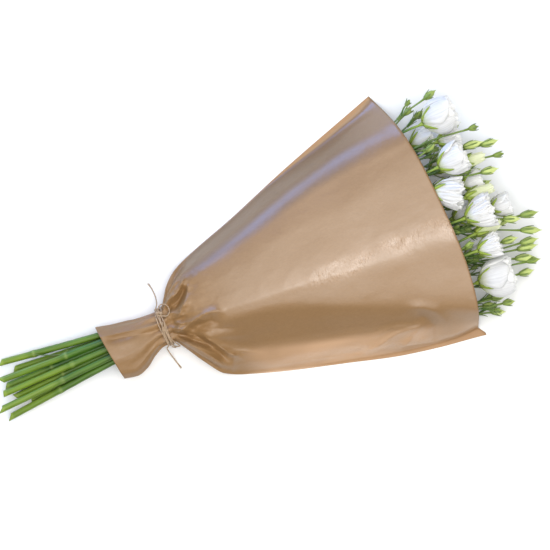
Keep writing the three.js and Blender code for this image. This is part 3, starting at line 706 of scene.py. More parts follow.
def jute_material():
    """Dull straw fibres, darker and paler from ply to ply and from fibre to fibre."""
    material, tree = new_material("jute", {"Roughness": 0.85, "Sheen Weight": 0.15})
    fleck = noise_at(tree, own_place(tree), 900.0, 4.0)
    tone = share_of(tree, mark_of(tree, "tone"), 0.45, share_of(tree, fleck, 0.6))
    straw = blend_of(tree, spread_of(tree, tone, 0.2, 0.85), (0.24, 0.155, 0.085), (0.56, 0.41, 0.27))
    dress(material, {"Base Color": straw, "Normal": bump_of(tree, fleck, 0.5, 0.0003)})
    return material


def tie():
    """The turns round the neck, then the knot, the loop, the two bights and the two ends."""
    mesh = new_piece("tone", "along")
    half_width = (left_edge(0) - right_edge(0)) / 2 + TWINE_RADIUS + TWINE_SLACK
    half_height = (top_at(0) - bottom_at(0)) / 2 + TWINE_RADIUS + TWINE_SLACK
    middle = (left_edge(0) + right_edge(0)) / 2
    centre = (top_at(0) + bottom_at(0)) / 2
    start = 0.25 * math.pi
    winding = []
    for i in range(TWINE_TURNS * TURN_STEPS + 1):
        t = i / (TWINE_TURNS * TURN_STEPS)
        angle = start + 2 * math.pi * TWINE_TURNS * t
        wander = 0.75 * math.sin(angle * 0.5 + 1.0) * math.sin(3 * angle + 0.4)
        x = (t - 0.5) * TWINE_TURNS * TWINE_PITCH - 0.5 + wander
        y = middle + half_width * math.cos(angle)
        z = centre + half_height * math.sin(angle)
        winding.append(Vector((x, y, z)))
    twine_strand(mesh, even_points(winding, WINDING_POINTS), 1)
    knot_y = middle + half_width * math.cos(start)
    knot_z = centre + half_height * math.sin(start) + 1.6

    def by_knot(*places):
        return [(x, knot_y + y, knot_z + z) for x, y, z in places]

    hitch = by_knot((-4.6, 1.6, -1.6), (-2.4, 2.8, 0.4), (0.4, 1.4, 1.8), (2.6, -0.6, 1.2), (1.4, -2.4, 0.6),
                    (-1.4, -1.4, 1.4), (-2.2, 0.8, 1.8), (0.2, 2.6, 0.9), (3.0, 1.2, 0.2), (4.4, -1.2, -0.6))
    loop = by_knot((0, 0, 0.6), (1.5, 6.5, -0.2), (7, 10, -1.8), (13, 7, 0.6), (14, -1, 2.6), (9, -6, 3),
                   (1, -2.5, 1.2))
    long_bight = [(1, 4, 44.0), (-2, -2, 44.4), (-3.6, -12, 41.4), (-2, -21, 33.0), (1.2, -27.5, 24),
                  (4.0, -30.5, 18), (2.6, -31.5, 12.5), (-1, -29, 14)]
    short_bight = [(2, 2, 44.2), (0.6, -7, 43.6), (1.4, -16, 39.4), (4.4, -24, 30.0), (8.2, -30.4, 21.5),
                   (8.6, -32.0, 16), (4.4, -31, 14), (1.5, -28.5, 17)]
    upper_end = by_knot((-1, 0, 0), (-1.5, 7, -2.0))
    upper_end += [(1.6, 27, 31), (3.0, 33, 22), (3.2, 40, 13), (2.4, 48, 6.2), (0.4, 56.5, 2.2)]
    lower_end = [(-4.6, middle - half_width, centre + 2), (-7.4, -29, 16), (-6.6, -36, 8), (-4.4, -45, 3.2),
                 (-0.6, -59, 1.6)]
    strands = [(hitch, 60, 2, False), (loop, 70, 3, False), (long_bight, 80, 4, False),
               (short_bight, 80, 5, False), (upper_end, 110, 7, True), (lower_end, 100, 8, True)]
    for knots, count, seed, frayed in strands:
        twine_strand(mesh, smooth_line(knots, count), seed, frayed)
    keep_above(mesh, LOWEST)
    return finished(mesh, "jute_tie", jute_material())


jute_tie = tie()
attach(jute_tie, "root")
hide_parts("jute_twine")


# Lisianthus stems. Each is a straight green stalk cut on the slant, faintly ridged and swollen at
# its nodes, with clasping leaves. It forks at the top into thin stalks, which end in blooms, each
# in a calyx of five narrow keeled sepals, and in pointed buds rolled to one side.
STEM_RADIUS = 4.1
STEM_PITCH = 8.7
STEM_ROW = 7.3
STEM_SIDES = 16
STEM_POINTS = 190
TIE_HEIGHT = 22.3
SEAT_RADIUS = 3.0
CALYX_DEPTH = 5.0
PAPER_MOUTH = 366.0
SPRAY_FROM = 426.0
STALK_SIDES = 8
STALK_POINTS = 22
STALK_OUTSIDE = range(10, 19)
BLOOM_STALK_SIDES = 10
BLOOM_STALK_POINTS = 34
BUD_SIDES = 20
BUD_RINGS = 17
BLADE_THICKNESS = 0.35
BLADE_STEPS = 10
SEPALS = 5
FIRST_STEM_SEED = 40


def slot(column, row):
    """Where a stem lies in the tie."""
    return column * STEM_PITCH, TIE_HEIGHT + row * STEM_ROW


# Each bloom: name, middle, the way it faces, rim radius, length, turn, and whether it is half open.
# Each bud: base, tip, greatest radius, and how far its colour has turned from green to cream.
STEMS = [
    dict(name="stem_01", slot=slot(1.5, 0), end=(-209, 33, 9), node=-166, cut=0.9, fork=(300, 98, 38),
         blooms=[("bloom_01", (387, 94, 25.5), (1, 0.05, 0.05), 13, 30, 0.4, False)],
         buds=[((378, 131, 34), (391, 137, 35), 3.6, 0.2), ((392, 122, 22), (407, 127, 22), 3.2, 0.1)]),
    dict(name="stem_02", slot=slot(1, 1), end=(-216, 12, 18), node=-130, cut=-0.8, fork=(296, 82, 53),
         low_leaf=(-130, 12, 25),
         blooms=[("bloom_02", (415, 113, 63), (1, 0.06, 0.18), 22.5, 42, 0.2, False),
                 ("bloom_15", (418, 83, 44), (1, -0.08, 0.1), 12.5, 28, 0.5, False)],
         buds=[((408, 140, 44), (426, 145, 45), 3.8, 0.15), ((444, 84, 62), (457, 83, 62), 3.4, 0.1),
               ((430, 66, 46), (457, 63, 46), 4.4, 0.8)]),
    dict(name="stem_03", slot=slot(0.5, 0), end=(-213, 3, 8.5), node=-150, cut=0.7, fork=(300, 42, 42),
         blooms=[("bloom_03", (425, 22, 40), (1, 0, 0.05), 13, 26, 0.9, False),
                 ("bloom_16", (436, 47, 50), (1, -0.05, 0), 8, 30, 0.2, True)],
         buds=[((452, 60, 40), (476, 58, 40), 4, 0.6), ((462, 42, 38), (476, 40, 37), 3, 0.1),
               ((438, 28, 60), (461, 25, 60), 4.2, 0.7)]),
    dict(name="stem_04", slot=slot(0, 1), end=(-219, -5, 18), node=-125, cut=0.3, fork=(296, 28, 70),
         blooms=[("bloom_04", (409, 56, 77), (1, 0.1, 0.15), 19.5, 36, 0.5, False),
                 ("bloom_05", (389, 21, 74), (0.9, -0.4, 0.08), 16, 38, 0.1, False)],
         buds=[((384, 78, 70), (398, 82, 71), 3.4, 0.2)]),
    dict(name="stem_05", slot=slot(-0.5, 0), end=(-207, -14, 9.5), node=-140, cut=-0.6, fork=(300, -20, 44),
         blooms=[("bloom_07", (446, -19, 48), (1, 0, 0.1), 13, 26, 0.7, False),
                 ("bloom_06", (428, 6, 60), (1, 0, 0.05), 8.5, 36, 0.3, True)],
         buds=[((464, -40, 46), (488, -44, 46), 4, 0.2), ((458, -57, 44), (484, -67, 43), 4.2, 0.5),
               ((452, -72, 38), (476, -75, 38), 4, 0.4)]),
    dict(name="stem_06", slot=slot(-1, 1), end=(-229, -22, 18), node=-144, cut=1.4, fork=(296, -38, 70),
         blooms=[("bloom_08", (416, -17, 77), (1, 0, 0.12), 17.5, 35, 0.8, False),
                 ("bloom_09", (421, -39, 56), (1, 0.05, -0.05), 8.5, 33, 0.6, True),
                 ("bloom_10", (412, -61, 71), (1, -0.05, 0.1), 12.5, 28, 0.2, False)],
         buds=[((384, -50, 80), (397, -49, 81), 3.4, 0.2), ((430, -62, 50), (452, -64, 50), 4, 0.6),
               ((442, -36, 54), (464, -44, 54), 4.2, 0.7)]),
    dict(name="stem_07", slot=slot(-1.5, 0), end=(-223, -35, 9), node=-152, cut=1.1, fork=(300, -88, 40),
         blooms=[("bloom_11", (407, -100, 50), (1, -0.1, 0.12), 24, 44, 0.1, False)],
         buds=[((446, -78, 32), (473, -82, 31), 4.2, 0.6), ((440, -88, 22), (466, -96, 21), 4.4, 0.7),
               ((404, -134, 32), (420, -137, 32), 3.6, 0.2)]),
    dict(name="stem_08", slot=slot(-1, -1), end=(-190, -25, 5), node=-120, cut=0.5, fork=(300, -84, 16),
         blooms=[("bloom_12", (394, -66, 14), (1, 0, 0.03), 11.5, 28, 0.3, False)],
         buds=[((380, -128, 14), (398, -133, 14), 3.8, 0.4), ((388, -140, 7), (406, -146, 7), 3.4, 0.7),
               ((438, -108, 14), (458, -110, 15), 4, 0.6), ((452, -97, 24), (470, -100, 24), 3, 0.1),
               ((394, -124, 20), (412, -127, 20), 3.2, 0.3)]),
    dict(name="stem_09", slot=slot(0, -1), end=(-200, -5, 4.8), node=-135, cut=-0.5, fork=(300, -10, 17),
         blooms=[("bloom_13", (402, -12, 24), (1, 0, 0.05), 16, 30, 0.6, False)],
         buds=[((428, 12, 16), (450, 15, 16), 4, 0.4), ((430, -36, 22), (452, -42, 20), 4, 0.5)]),
    dict(name="stem_10", slot=slot(1, -1), end=(-196, 19, 5), node=-126, cut=0.6, fork=(300, 56, 17),
         blooms=[("bloom_14", (398, 56, 21), (1, 0.05, 0.05), 16, 30, 0, False)],
         buds=[((420, 92, 12), (442, 97, 12), 4, 0.4), ((424, 34, 10), (444, 33, 10), 3.6, 0.3)]),
]


def cup(v, radius, length, opened, curl=2.0):
    """The radius and height of a petal's middle line, v of the way up. It is widest before its rim."""
    out = SEAT_RADIUS + (radius - SEAT_RADIUS) * math.sin(curl * v) * (1 - (1 - opened) * v**3)
    return out, 1 + (length - 1) * (0.32 * v + 0.68 * v * v)


def green_material():
    """Waxy green skin. Marks give how pale and how yellow it is, and carry its fine lines along."""
    material, tree = new_material("stem_green", {"Roughness": 0.38, "Specular IOR Level": 0.33})
    lines_at = node(tree, "CombineXYZ", "Vector", {"X": mark_of(tree, "run"), "Y": mark_of(tree, "turn")})
    fine = noise_at(tree, lines_at, 1.0, 5.0)
    patch = noise_at(tree, own_place(tree), 24.0, 2.0)
    shade = spread_of(tree, share_of(tree, patch, 1.0, fine), 0.65, 1.35)
    deep = blend_of(tree, shade, (0.009, 0.042, 0.007), (0.052, 0.150, 0.010))
    warm = blend_of(tree, mark_of(tree, "warm"), deep, (0.215, 0.305, 0.018))
    dress(material, {"Base Color": blend_of(tree, mark_of(tree, "pale"), warm, (0.68, 0.76, 0.30)),
                     "Normal": bump_of(tree, fine, 0.3, 0.0004)})
    return material


def stalk_line(knots, count):
    return smooth_line(knots, count, power=0.5, samples=40)


def side_on(aim):
    """Two directions across a line of sight, the first as level as it can be."""
    across = Vector((0, 0, 1)).cross(aim)
    across = across.normalized() if across.length > 0.1 else Vector((0, 1, 0))
    return across, aim.cross(across)


def lay_blade(mesh, rows, marks):
    """Lays a thin leaf or sepal. Its faces are noted as blades, and thicken_blades() thickens them."""
    blade = mesh.faces.layers.int["blade"]
    for row in lay_sheet(mesh, rows, marks):
        for point in row:
            for face in point.link_faces:
                face[blade] = 1


def thicken_blades(mesh):
    """Gives all leaves and sepals of a stem their thickness in one go."""
    blade = mesh.faces.layers.int["blade"]
    faces = [face for face in mesh.faces if face[blade]]
    mesh.normal_update()
    bmesh.ops.solidify(mesh, geom=faces, thickness=-BLADE_THICKNESS)
    mesh.faces.layers.int.remove(blade)


def sepal(mesh, base, aim, outward, length, width, spread, warm, lean=0.0):
    """A narrow keeled sepal that starts at the cup and bends out to its drawn-out tip."""
    across = aim.cross(outward).normalized()
    rows, marks = [], []
    steps = (-1, -0.4, 0, 0.4, 1)
    for i in range(BLADE_STEPS):
        v = i / (BLADE_STEPS - 1)
        swell = math.sin(math.pi * (0.24 + 0.76 * v) ** 0.85) ** 0.75 if v < 1 else 0
        half = 0.5 * width * swell + 0.1
        place = base + aim * (length * v) + outward * spread(v) + across * (lean * length * v * v)
        keel = [0.45 * half * (1 - 1.6 * abs(u)) for u in steps]
        rows.append([place + across * (half * u) + outward * rise for u, rise in zip(steps, keel)])
        yellow = clamp(warm + 0.15 - 0.2 * v)
        marks.append([(0.10 + 0.12 * (1 - abs(u)) * (1 - v), yellow, 3 * v, 2 * u) for u in steps])
    lay_blade(mesh, rows, marks)


def bud(mesh, start, base, tip, radius, turned, chance):
    """A bud on its thin stalk, with the bracts and small side buds of the stalk."""
    base, tip = Vector(base), Vector(tip)
    aim = (tip - base).normalized()
    length = (tip - base).length
    bend = base - aim * (0.3 * (base - start).length)
    stalk = stalk_line([start, bend, base + aim], STALK_POINTS)
    side = chance.uniform(0, 6.28)
    lay_tube(mesh, stalk, lambda s, a: 1.05 + 0.5 * ease(s, 0.93, 1.0), STALK_SIDES,
             lambda s, a: (0.02 + 0.08 * s, 0.35 * ease(s, 0.6, 1.0), 9 * s, 0.6 * a))
    bracts(mesh, stalk, chance)
    across, up = side_on(aim)
    outside = [k for k in STALK_OUTSIDE if stalk[k].x > PAPER_MOUTH][:5]
    if length > 12 and base.x > PAPER_MOUTH + 20:
        wanted = 2 if base.x > SPRAY_FROM else 1
        for order, i in enumerate(chance.sample(outside, min(len(outside), wanted))):
            turn = side + 2.2 * order
            way = (math.cos(turn) * across + 0.5 * math.sin(turn) * up).normalized()
            seat = stalk[i] + aim * chance.uniform(11, 17) + way * chance.uniform(5, 8)
            point = seat + (aim + 0.3 * way).normalized() * chance.uniform(8.5, 11.5)
            bud(mesh, stalk[i], seat, point, chance.uniform(1.9, 2.5), 0.05, chance)

    def body(v, angle):
        swell = math.sin(math.pi * (0.06 + 0.9 * v) ** 0.82) ** 0.85
        nose = 1 - 0.72 * ease(v, 0.62, 1.0)
        spiral = 5 * (angle + side) - 5.12 * v
        lobe = 1 + 0.10 * ease(v, 0.25, 0.8) * math.cos(spiral)
        seam = 1 - 0.16 * ease(v, 0.3, 0.7) * max(0.0, math.cos(spiral + 2.6)) ** 6
        return max(0.12, 1.12 * radius * swell * nose * lobe * seam)

    def mark(v, angle):
        pale = clamp(turned * (0.45 + 0.55 * v) + 0.22 * v)
        return pale, clamp(0.5 + 0.4 * turned + 0.2 * v), 4 * v, 1.3 * angle

    core = [base + aim * mix(0.6, length, i / (BUD_RINGS - 1)) for i in range(BUD_RINGS)]
    lay_tube(mesh, core, body, BUD_SIDES, mark, first=across)
    calyx = 0.62 if length > 16 else 0.8
    for k in range(SEPALS):
        angle = side + 2 * math.pi * (k + 0.5) / SEPALS
        outward = math.cos(angle) * across + math.sin(angle) * up
        reach = length * calyx * chance.uniform(0.85, 1.15)
        flare = chance.uniform(0.2, 1.8)

        def spread(v, flare=flare):
            return radius * math.sin(math.pi * (0.10 + 0.5 * v)) + 0.45 + flare * v**3

        sepal(mesh, base + aim * 0.4, aim, outward, reach, 2.3, spread, 0.15, chance.uniform(-0.05, 0.05))


def bracts(mesh, stalk, chance):
    """A pair of small pointed leaves, opposite each other, partway along a thin stalk."""
    outside = [k for k in STALK_OUTSIDE if stalk[k].x > PAPER_MOUTH]
    if not outside or stalk[-1].x < PAPER_MOUTH + 20:
        return
    i = chance.choice(outside[:4])
    aim = (stalk[i + 1] - stalk[i]).normalized()
    across, up = side_on(aim)
    turn = chance.uniform(-0.5, 0.5)
    for way in (1, -1):
        outward = way * (math.cos(turn) * across + math.sin(turn) * up)
        reach = chance.uniform(9, 15)
        flare = chance.uniform(2.0, 5.0)
        sepal(mesh, stalk[i], aim, outward, reach, 2.4, lambda v, flare=flare: 0.8 + flare * v * v, 0.05)


def bloom_stalk(mesh, start, flower, chance):
    """The stalk that carries a bloom, thickened to a cup under it, with the five sepals."""
    _, centre, facing, radius, length, _, half_open = flower
    aim = Vector(facing).normalized()
    base = Vector(centre) - aim * (length / 2)
    neck = base - aim * CALYX_DEPTH
    bend = neck - aim * (0.3 * (neck - start).length)
    line = stalk_line([start, bend, neck, base + aim * 0.2], BLOOM_STALK_POINTS)
    total = run_of(line)[-1]

    def thick(s, a):
        left = (1 - s) * total
        return mix(1.9, 1.5, s) + 1.9 * (1 - ease(left, 0.2, CALYX_DEPTH + 0.5))

    lay_tube(mesh, line, thick, BLOOM_STALK_SIDES,
             lambda s, a: (0.02 + 0.1 * ease(s, 0.8, 1), 0.85 * ease(s, 0.72, 1), 12 * s, 0.8 * a))
    across, up = side_on(aim)
    opened = 0.3 if half_open else 1.0
    for k in range(SEPALS):
        angle = 2 * math.pi * (k + 0.5) / SEPALS + 0.3 + chance.uniform(-0.1, 0.1)
        outward = math.cos(angle) * across + math.sin(angle) * up
        reach = min(17.0, length * 0.55) * chance.uniform(0.85, 1.2)
        flare = chance.uniform(0.8, 2.4) if half_open else chance.uniform(1.5, 5.0)

        def spread(v, reach=reach, flare=flare):
            out, _ = cup(clamp(1.15 * v * reach / length + 0.05), radius, length, opened)
            return out + 0.5 + 1.3 * min(1.0, radius / 18) * math.sin(math.pi * v) + flare * v * v

        sepal(mesh, base, aim, outward, reach, 5.0, spread, 0.95, chance.uniform(-0.18, 0.18))


def leaf(mesh, foot, along, aside, length, width, pale=0.0):
    """A leaf that leaves its stem at the foot, cupped across and bent out towards its tip."""
    face = along.cross(aside).normalized()
    rows, marks = [], []
    for i in range(BLADE_STEPS + 1):
        v = i / BLADE_STEPS
        half = 0.7 + 0.5 * width * math.sin(math.pi * v**0.8) * (1 - 0.15 * v) * (1 if v < 1 else 0)
        row, mark = [], []
        for k in range(9):
            u = k / 4 - 1
            lift = 0.22 * half * abs(u) + 0.1 * length * v * v
            row.append(foot + along * (length * v * math.cos(0.45))
                       + aside * (length * v * math.sin(0.45) + lift) + face * (u * half))
            mark.append((pale, 0.05, 2 * v, 9 * u))
        rows.append(row)
        marks.append(mark)
    lay_blade(mesh, rows, marks)


def cut_slanting(mesh, line, ring, end, slant):
    """Cuts the start of a stem on the slant and shows its green rind, its pale wood and its pith."""
    tangent = (line[1] - line[0]).normalized()
    for corner in ring:
        corner.co += tangent * (slant * (corner.co.y - line[0].y))
    rim = [corner.co.copy() for corner in end.verts]
    middle = sum(rim, Vector()) / len(rim)
    for share, hollow, pale in ((0.84, 0.0, 0.5), (0.45, 0.25, 0.75)):
        bmesh.ops.inset_individual(mesh, faces=[end], thickness=0.01)
        for k, (corner, outer) in enumerate(zip(end.verts, rim)):
            corner.co = middle.lerp(outer, share) + tangent * hollow
            for layer, mark in zip(mesh.verts.layers.float.values(), (pale, 0.6, 0.4 * k, 0.0)):
                corner[layer] = mark


def stem(plan, seed, green):
    """One stem from its cut end through the tie to its fork, with all that grows on it but its petals."""
    chance = random.Random(seed)
    mesh = new_piece("pale", "warm", "run", "turn")
    mesh.faces.layers.int.new("blade")
    y, z = plan["slot"]
    end, top = Vector(plan["end"]), Vector(plan["fork"])
    tied = [Vector((-12, y, z)), Vector((0, y, z)), Vector((12, y, z))]
    mouth = Vector((-86, mix(y, end.y, 0.3), mix(z, end.z, 0.1)))
    line = stalk_line([end, mouth, *tied, tied[2].lerp(top, 0.5), top], STEM_POINTS)
    total = top.x - end.x
    node_at = (plan["node"] - end.x) / total
    tie_at = -end.x / total
    shift = chance.uniform(0, 6.28)
    tone = chance.uniform(0.0, 0.35)

    def hump(s, centre, reach):
        return math.exp(-(((s - centre) / reach) ** 2))

    def thick(s, a):
        slim = STEM_RADIUS * (1 - 0.42 * ease(s, tie_at, 1))
        ridges = 1 + 0.035 * math.cos(5 * (a + shift)) + 0.012 * math.cos(9 * a + 40 * s)
        swelling = hump(s, node_at, 0.007) + 0.35 * hump(s, node_at + 0.03, 0.02)
        return slim * ridges * (1 + 0.17 * swelling)

    def mark(s, a):
        ring = hump(s, node_at, 0.003)
        tip = 1 - ease(s, 0.0, 0.012)
        below = 1 - ease(s, node_at - 0.03, node_at + 0.004)
        seam = 0.10 * max(0.0, math.cos(2 * (a + shift))) ** 8
        yellow = clamp(tone + 0.3 * below + 0.3 * tip + 0.15 * ring)
        return 0.16 * ring + 0.12 * tip + seam * below, yellow, 26 * s, 1.6 * a

    ring, face = lay_tube(mesh, line, thick, STEM_SIDES, mark, first=Vector((0, 1, 0)))
    cut_slanting(mesh, line, ring, face, plan["cut"])

    def branch_from(order):
        return top.lerp(tied[2], 0.01 + 0.035 * order)

    for order, flower in enumerate(plan["blooms"]):
        bloom_stalk(mesh, branch_from(order), flower, chance)
    for order, (base, tip, radius, turned) in enumerate(plan["buds"], len(plan["blooms"])):
        bud(mesh, branch_from(order), base, tip, radius, turned, chance)
    along = (top - tied[2]).normalized()
    foot = tied[2].lerp(top, 0.6)
    for way in (1, -1):
        leaf(mesh, foot, along, Vector((0, way, -0.5)).normalized(), 30, 12)
    if "low_leaf" in plan:
        low = Vector((-1, -0.2, -0.1)).normalized()
        leaf(mesh, Vector(plan["low_leaf"]), low, Vector((0, 1, 0)), 42, 8, 0.12)
    keep_above(mesh, LOWEST)
    thicken_blades(mesh)
    return finished(mesh, plan["name"] + "_green", green)


green = green_material()
for number, plan in enumerate(STEMS):
    stem_piece = stem(plan, FIRST_STEM_SEED + number, green)
    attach(stem_piece, "root")
    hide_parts(plan["name"])


# Blooms. A double lisianthus has whorls of five broad soft petals, each rolled over its neighbour
# on one side, round a heart of smaller furled ones. The petals are white and about 0.25 mm thick,
# with fine lines along them, ruffled rims and a cream-green foot. The half-open ones are still
# rolled to a cone and cream-green all over.
PETAL_TWIST = 0.055
PETAL_ACROSS = 16
PETAL_ALONG = 16
PETAL_THICKNESS = 0.00025
FIRST_BLOOM_SEED = 70

# Whorls from the outside in. share: of the bloom's radius; tall: of its length; curl: how far it
# closes over at the top; cover: how far each petal laps its neighbours; flare: how far its rim
# turns out; ruffle: the waves of its rim in millimetres; pleat: the depth of its long folds.
FULL_WHORLS = [
    dict(count=5, share=1.00, tall=1.00, curl=1.98, cover=1.28, flare=0.07, ruffle=0.9, pleat=0.5, turn=0.0),
    dict(count=5, share=0.84, tall=1.01, curl=2.05, cover=1.22, flare=0.05, ruffle=1.1, pleat=0.6, turn=0.63),
    dict(count=5, share=0.64, tall=1.00, curl=2.15, cover=1.20, flare=0.04, ruffle=1.1, pleat=0.6, turn=0.25),
    dict(count=4, share=0.44, tall=0.95, curl=2.20, cover=1.25, flare=0.03, ruffle=0.8, pleat=0.4, turn=0.9),
    dict(count=3, share=0.24, tall=0.88, curl=2.30, cover=1.35, flare=0.0, ruffle=0.4, pleat=0.2, turn=0.2),
]
GLOBE_WHORLS = [
    dict(count=5, share=1.00, tall=0.98, curl=2.18, cover=1.42, flare=0.02, ruffle=0.5, pleat=0.3, turn=0.0),
    dict(count=5, share=0.88, tall=1.03, curl=2.12, cover=1.35, flare=0.03, ruffle=0.8, pleat=0.4, turn=0.63),
    dict(count=5, share=0.68, tall=1.02, curl=2.20, cover=1.20, flare=0.04, ruffle=1.1, pleat=0.6, turn=0.25),
    dict(count=4, share=0.46, tall=0.96, curl=2.20, cover=1.25, flare=0.03, ruffle=0.8, pleat=0.4, turn=0.9),
    dict(count=3, share=0.24, tall=0.88, curl=2.30, cover=1.35, flare=0.0, ruffle=0.4, pleat=0.2, turn=0.2),
]
LOOSE_WHORLS = [
    dict(count=7, share=1.08, tall=1.03, curl=1.80, cover=0.92, flare=0.10, ruffle=1.2, pleat=1.3, turn=0.3),
    dict(count=6, share=0.92, tall=1.04, curl=1.90, cover=0.98, flare=0.08, ruffle=1.2, pleat=1.1, turn=0.0),
    dict(count=5, share=0.72, tall=1.03, curl=2.00, cover=1.10, flare=0.05, ruffle=1.2, pleat=0.9, turn=0.4),
    dict(count=4, share=0.48, tall=0.96, curl=2.10, cover=1.20, flare=0.03, ruffle=0.8, pleat=0.5, turn=0.9),
    dict(count=3, share=0.26, tall=0.88, curl=2.30, cover=1.35, flare=0.0, ruffle=0.4, pleat=0.2, turn=0.2),
]
HALF_OPEN_WHORLS = [
    dict(count=5, share=1.00, tall=1.0, curl=2.00, cover=1.3, flare=0.05, ruffle=0.35, pleat=0.35, turn=0.0),
    dict(count=5, share=0.66, tall=1.0, curl=2.05, cover=1.3, flare=0.05, ruffle=0.35, pleat=0.35, turn=0.63),
    dict(count=3, share=0.34, tall=0.92, curl=2.20, cover=1.3, flare=0.0, ruffle=0.2, pleat=0.2, turn=0.3),
]
GLOBES = ("bloom_02", "bloom_11")
LOOSE = ("bloom_05", "bloom_08", "bloom_15", "bloom_10")


def petal_look():
    """The effect that both petal materials share: fine lines along a petal with darker ones between
    them, a foot of another colour and a painted glow, strongest in the heart, that lightens the shaded inner
    petals."""
    group = bpy.data.node_groups.new("petal_look", "ShaderNodeTree")
    for name, kind in (("Petal Colour", "Color"), ("Foot Colour", "Color"), ("Foot Reach", "Float")):
        group.interface.new_socket(name, in_out="INPUT", socket_type="NodeSocket" + kind)
    for name, kind in (("Colour", "Color"), ("Glow", "Color"), ("Normal", "Vector")):
        group.interface.new_socket(name, in_out="OUTPUT", socket_type="NodeSocket" + kind)
    given = group.nodes.new("NodeGroupInput").outputs
    result = group.nodes.new("NodeGroupOutput").inputs
    along = mark_of(group, "along")
    across = share_of(group, mark_of(group, "across"), 12.0)
    veins_at = node(group, "CombineXYZ", "Vector",
                    {"X": share_of(group, along, 1.1), "Y": across, "Z": mark_of(group, "petal")})
    veins = noise_at(group, veins_at, 1.0, 4.0)
    lines = spread_of(group, veins, 0.3, 0.62, 0.80, 1.0)
    low = spread_of(group, along, 0.0, given["Foot Reach"], 1.0, 0.0)
    tint = darkened(group, given["Petal Colour"], lines)
    # Painted glow: emission that lightens the petals, faint on the outer whorl and strongest in the heart,
    # where shade falls.
    inner = spread_of(group, mark_of(group, "inner"), 0.0, 1.0, 0.03, 0.30)
    feed(group, result["Colour"], blend_of(group, low, tint, given["Foot Colour"]))
    feed(group, result["Glow"], darkened(group, (1.0, 0.99, 0.94), inner))
    feed(group, result["Normal"], bump_of(group, veins, 0.55, 0.0007))
    return group


def darkened(tree, colour, share):
    return node(tree, "Mix", "Result", {"Factor": 1.0, "A": colour, "B": share},
                data_type="RGBA", blend_type="MULTIPLY")


def petal_material(name, look, petal_colour, foot_colour, foot_reach):
    """Thin soft petal that lets light through, with a painted glow added on top."""
    material, tree = new_material(name, {
        "Roughness": 0.5, "Specular IOR Level": 0.3, "Sheen Weight": 0.1, "Subsurface Weight": 0.5,
        "Subsurface Radius": (1.0, 0.97, 0.85), "Subsurface Scale": 0.003, "Emission Strength": 1.0})
    feeds = {"Petal Colour": petal_colour, "Foot Colour": foot_colour, "Foot Reach": foot_reach}
    made = node(tree, "Group", "Colour", feeds, node_tree=look).node.outputs
    dress(material, {"Base Color": made["Colour"], "Emission Color": made["Glow"], "Normal": made["Normal"]})
    return material


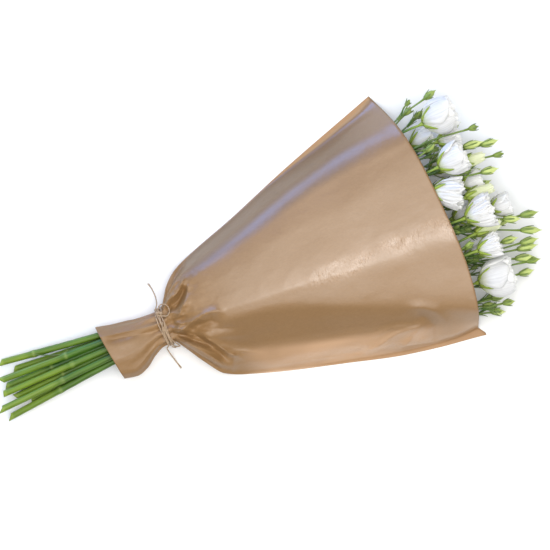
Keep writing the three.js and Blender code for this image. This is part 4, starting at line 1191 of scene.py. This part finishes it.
def petal(mesh, place, whorl, radius, length, opened, angle, number, chance, low, inner):
    """One petal as a curved sheet. place() puts its own frame, with the bloom's axis as Z, in the
    bouquet."""
    waves = chance.uniform(1.6, 2.6)
    phase = chance.uniform(0, 6.28)
    folds = chance.uniform(2.5, 4.0)
    tall = whorl["tall"] * chance.uniform(0.94, 1.04)
    curl = whorl["curl"] + chance.uniform(-0.08, 0.08)
    flare = whorl["flare"] * chance.uniform(0.2, 2.0)
    slack = chance.uniform(-0.03, 0.05)
    half = math.pi / whorl["count"] * whorl["cover"]
    sway = chance.uniform(-0.12, 0.12)
    size = min(1.0, radius / 16)
    rows, marks = [], []
    for i in range(PETAL_ALONG + 1):
        v = mix(low, 1.0, i / PETAL_ALONG)
        out, up = cup(v, radius * whorl["share"], length * tall, opened, curl)
        wide = half * (0.80 + 0.30 * ease(v, 0.15, 0.75) - 0.16 * ease(v, 0.8, 1.0))
        row, mark = [], []
        for k in range(PETAL_ACROSS + 1):
            u = 2 * k / PETAL_ACROSS - 1
            turned = angle + u * wide + sway * v
            long_fold = whorl["pleat"] * ease(v, 0.3, 0.85) * math.sin(folds * math.pi * u + phase + 0.8 * v)
            rim_wave = whorl["ruffle"] * ease(v, 0.62, 1.0) * math.sin(waves * math.pi * u + 2 * phase)
            reach = (out * (1 + slack * v) + PETAL_TWIST * radius * u * ease(v, 0, 0.7)
                     + flare * radius * v**5 * (1 - 0.4 * u * u) + size * (long_fold + rim_wave))
            dip = 1 - 0.24 * abs(u) ** 2.3 * v**3
            rim = dip + 0.022 * ease(v, 0.75, 1.0) * math.sin(3.3 * waves * u + phase)
            row.append(place(reach * math.cos(turned), reach * math.sin(turned), up * rim))
            mark.append((v, u, number, inner * ease(v, 0.3, 0.7)))
        rows.append(row)
        marks.append(mark)
    lay_sheet(mesh, rows, marks)


def whorls_of(name, half_open):
    if half_open:
        return HALF_OPEN_WHORLS
    if name in GLOBES:
        return GLOBE_WHORLS
    return LOOSE_WHORLS if name in LOOSE else FULL_WHORLS


def bloom(flower, seed, petal_paint):
    """All petals of one bloom, from the outer whorl to the heart."""
    name, centre, facing, radius, length, spin, half_open = flower
    chance = random.Random(seed)
    aim = Vector(facing).normalized()
    turn = Vector((0, 0, 1)).rotation_difference(aim)
    base = Vector(centre) - aim * (length / 2)

    def place(x, y, z):
        return base + turn @ Vector((x, y, z))

    mesh = new_piece("along", "across", "petal", "inner")
    number = 0
    opened = 0.45 if half_open else 1.0
    whorls = whorls_of(name, half_open)
    for order, whorl in enumerate(whorls):
        low = 0.2 if order else 0.0
        inner = order / (len(whorls) - 1)
        for k in range(whorl["count"]):
            angle = spin + whorl["turn"] + 2 * math.pi * k / whorl["count"] + chance.uniform(-0.08, 0.08)
            petal(mesh, place, whorl, radius, length, opened, angle, number, chance, low, inner)
            number += 1
    keep_above(mesh, LOWEST)
    piece = finished(mesh, name + "_petals", petal_paint)
    thicken(piece, PETAL_THICKNESS, 0)
    return piece


look = petal_look()
white_petal = petal_material("white_petal", look, (0.80, 0.795, 0.785), (0.64, 0.74, 0.24), 0.5)
cream_petal = petal_material("cream_petal", look, (0.84, 0.88, 0.52), (0.48, 0.65, 0.14), 0.75)
for number, flower in enumerate(flower for plan in STEMS for flower in plan["blooms"]):
    petals = bloom(flower, FIRST_BLOOM_SEED + number, cream_petal if flower[6] else white_petal)
    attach(petals, "root")
    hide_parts(flower[0])
